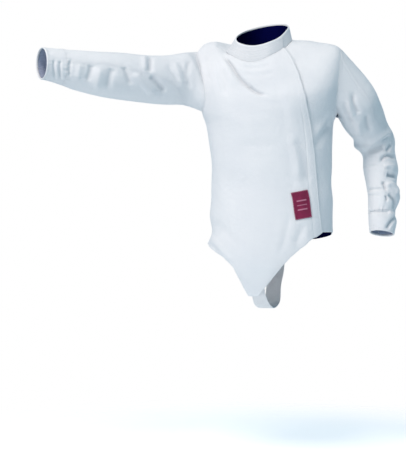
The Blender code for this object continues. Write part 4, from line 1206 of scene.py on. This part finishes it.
seam_rows = []
hem = np.linspace(109.0, 273.0, 500)
turn, row = sideways(body, hem, row_of(np.interp(hem, *np.array(BACK_HEM).T)), 0.0065)
seam_rows.append(on_body(turn, row, -0.0001))
for seam, armhole, side in ((SEAM_LEFT, ARMHOLE_LEFT, 1), (SEAM_RIGHT, ARMHOLE_RIGHT, -1)):
    for low, high in ((5.2, 11.9), (14.1, 15.9)):
        line = np.linspace(low, high, 200)
        seam_rows.append(on_body(*sideways(body, np.full(200, seam), line, side * -0.0050), -0.0001))
    for front in (True, False):
        rise = np.sin(np.linspace(-1.45, 1.45, 200))
        line = (ARMPIT_ROW + SHOULDER_ROW) / 2 + rise
        turn = side_edge(line, seam, armhole, front)
        seam_rows.append(on_body(*sideways(body, turn, line, 0.0050 * (1 if front == (seam > 0) else -1)), -0.0001))
stitches("topstitching_seams", seam_rows)

sleeve_rows = []
for surface, seam, cuff in ((right_sleeve, RIGHT_SEAM, RIGHT_CUFF), (left_sleeve, LEFT_SEAM, LEFT_CUFF)):
    last = len(seam) - 1
    stations = np.linspace(0.12, cuff - 0.05, 400)
    for table in (seam, [BACK_SEAM] * (last + 1)):
        line = sleeve_seam(surface, table, stations, -1 if table is seam else 1, 0.0045)
        points, facing = on_sleeve(surface, line, stations, cuff, last)
        sleeve_rows.append((points - facing * 0.0001, facing))
    turn = np.linspace(-99.0, 259.0, 300)
    for start, distance in ((cuff, 0.0030), (last, -0.0075)):
        along = surface(turn, np.full(300, start - 0.05)) - surface(turn, np.full(300, start - 0.10))
        station = start + distance * 0.05 / np.linalg.norm(along, axis=-1)
        points, facing = on_sleeve(surface, turn, station, cuff, last)
        sleeve_rows.append((points - facing * 0.0001, facing))
stitches("topstitching_sleeves", sleeve_rows)

turn = np.linspace(tip - 3.0, tip - 359.5, 1200)
collar_rows = []
for place in COLLAR_ROWS:
    points, facing = collar_surface(turn, np.full(1200, place))[0], collar_facing(turn, np.full(1200, place))
    collar_rows.append((points - facing * 0.0003, facing))
height = np.linspace(0.12, 0.93, 40)
end = tip - degrees_of(tip, NECK_ROW, 0.0050)
collar_rows.append((collar_surface(np.full(40, end), height)[0] - collar_facing(np.full(40, end), height) * 0.0001,
                    collar_facing(np.full(40, end), height)))
stitches("topstitching_collar", collar_rows)

# Studio: a pale floor a leg's length below the jacket that fades into a white ground,
# a soft light high in front, a weaker one low at the left, a pale blue sky, and the
# camera at the photograph's angle.

FLOOR = -1.12

ground = Finish("pale floor", Roughness=0.9, Emission_Strength=0.40)
place = ground.place()
ground.feed(ground.shader, {"Base Color": ground.blend(ground.noise(place, 3.0), (0.93, 0.93, 0.94, 1), (0.96, 0.96, 0.965, 1)),
                            "Emission Color": ground.blend(ground.noise(place, 2.0), (0.97, 0.98, 1.0, 1), (1, 1, 1, 1)),
                            "Alpha": 1 - ground.add("ShaderNodeVectorMath", {"operation": "LENGTH"}, {0: place}, 1).above(1.2, 1.7)})
radius, turn = np.meshgrid(np.linspace(0.0, 6.0, 9), np.linspace(0, 2 * math.pi, 65)[:-1])
disc = np.stack([radius * np.cos(turn), radius * np.sin(turn), np.full(radius.shape, FLOOR)], -1)
index = np.arange(64 * 9).reshape(64, 9)
ahead = np.roll(index, -1, axis=0)
face = np.stack([index[:, :-1], index[:, 1:], ahead[:, 1:], ahead[:, :-1]], -1).reshape(-1, 4)
mesh = bpy.data.meshes.new("floor")
mesh.from_pydata(disc.reshape(-1, 3), [], face.tolist())
mesh.materials.append(ground.material)
floor = bpy.data.objects.new("floor", mesh)
bpy.context.scene.collection.objects.link(floor)

world = bpy.data.worlds.new("studio")
bpy.context.scene.world = world
world.use_nodes = True
shaded = world.node_tree.nodes["Background"]
shaded.inputs["Color"].default_value = (0.61, 0.845, 1.0, 1)
shaded.inputs["Strength"].default_value = 0.575
white = world.node_tree.nodes.new("ShaderNodeBackground")
white.inputs["Color"].default_value = (1.0, 1.0, 1.0, 1)
path = world.node_tree.nodes.new("ShaderNodeLightPath")
either = world.node_tree.nodes.new("ShaderNodeMixShader")
world.node_tree.links.new(path.outputs["Is Camera Ray"], either.inputs[0])
world.node_tree.links.new(shaded.outputs[0], either.inputs[1])
world.node_tree.links.new(white.outputs[0], either.inputs[2])
world.node_tree.links.new(either.outputs[0], world.node_tree.nodes["World Output"].inputs["Surface"])


def soft_light(name, place, aim, size, power, colour):
    """A square soft light at a place, turned to its aim."""
    light = bpy.data.lights.new(name, "AREA")
    light.size, light.energy, light.color = size, power, colour
    lamp = bpy.data.objects.new(name, light)
    z = (place - aim) / np.linalg.norm(place - aim)
    x = np.cross(U, z)
    x /= np.linalg.norm(x)
    turned = np.eye(4)
    turned[:3, 0], turned[:3, 1], turned[:3, 2], turned[:3, 3] = x, np.cross(z, x), z, place
    lamp.matrix_world = Matrix(turned)
    bpy.context.scene.collection.objects.link(lamp)


middle = -0.10 * R - 0.30 * U
soft_light("key", middle - 0.71 * R - 1.94 * F + 2.95 * U, middle, 1.3, 70.0, (1.0, 0.87, 0.80))
soft_light("side", middle - 2.54 * R - 2.54 * F + 0.31 * U, middle, 1.3, 42.0, (1.0, 0.87, 0.82))

camera = bpy.data.objects.new("camera", bpy.data.cameras.new("camera"))
camera.data.sensor_width = 36.0
camera.data.lens = 36.0 * 1272.7 / 461.0
camera.data.clip_end = 60.0
aim = -0.1595 * R - 0.4964 * U
eye = aim - 3.5 * F
camera.matrix_world = Matrix(np.vstack([np.stack([R, U, -F, eye], 1), [0, 0, 0, 1]]))
bpy.context.scene.collection.objects.link(camera)
bpy.context.scene.camera = camera
bpy.context.scene.view_settings.view_transform = "Standard"
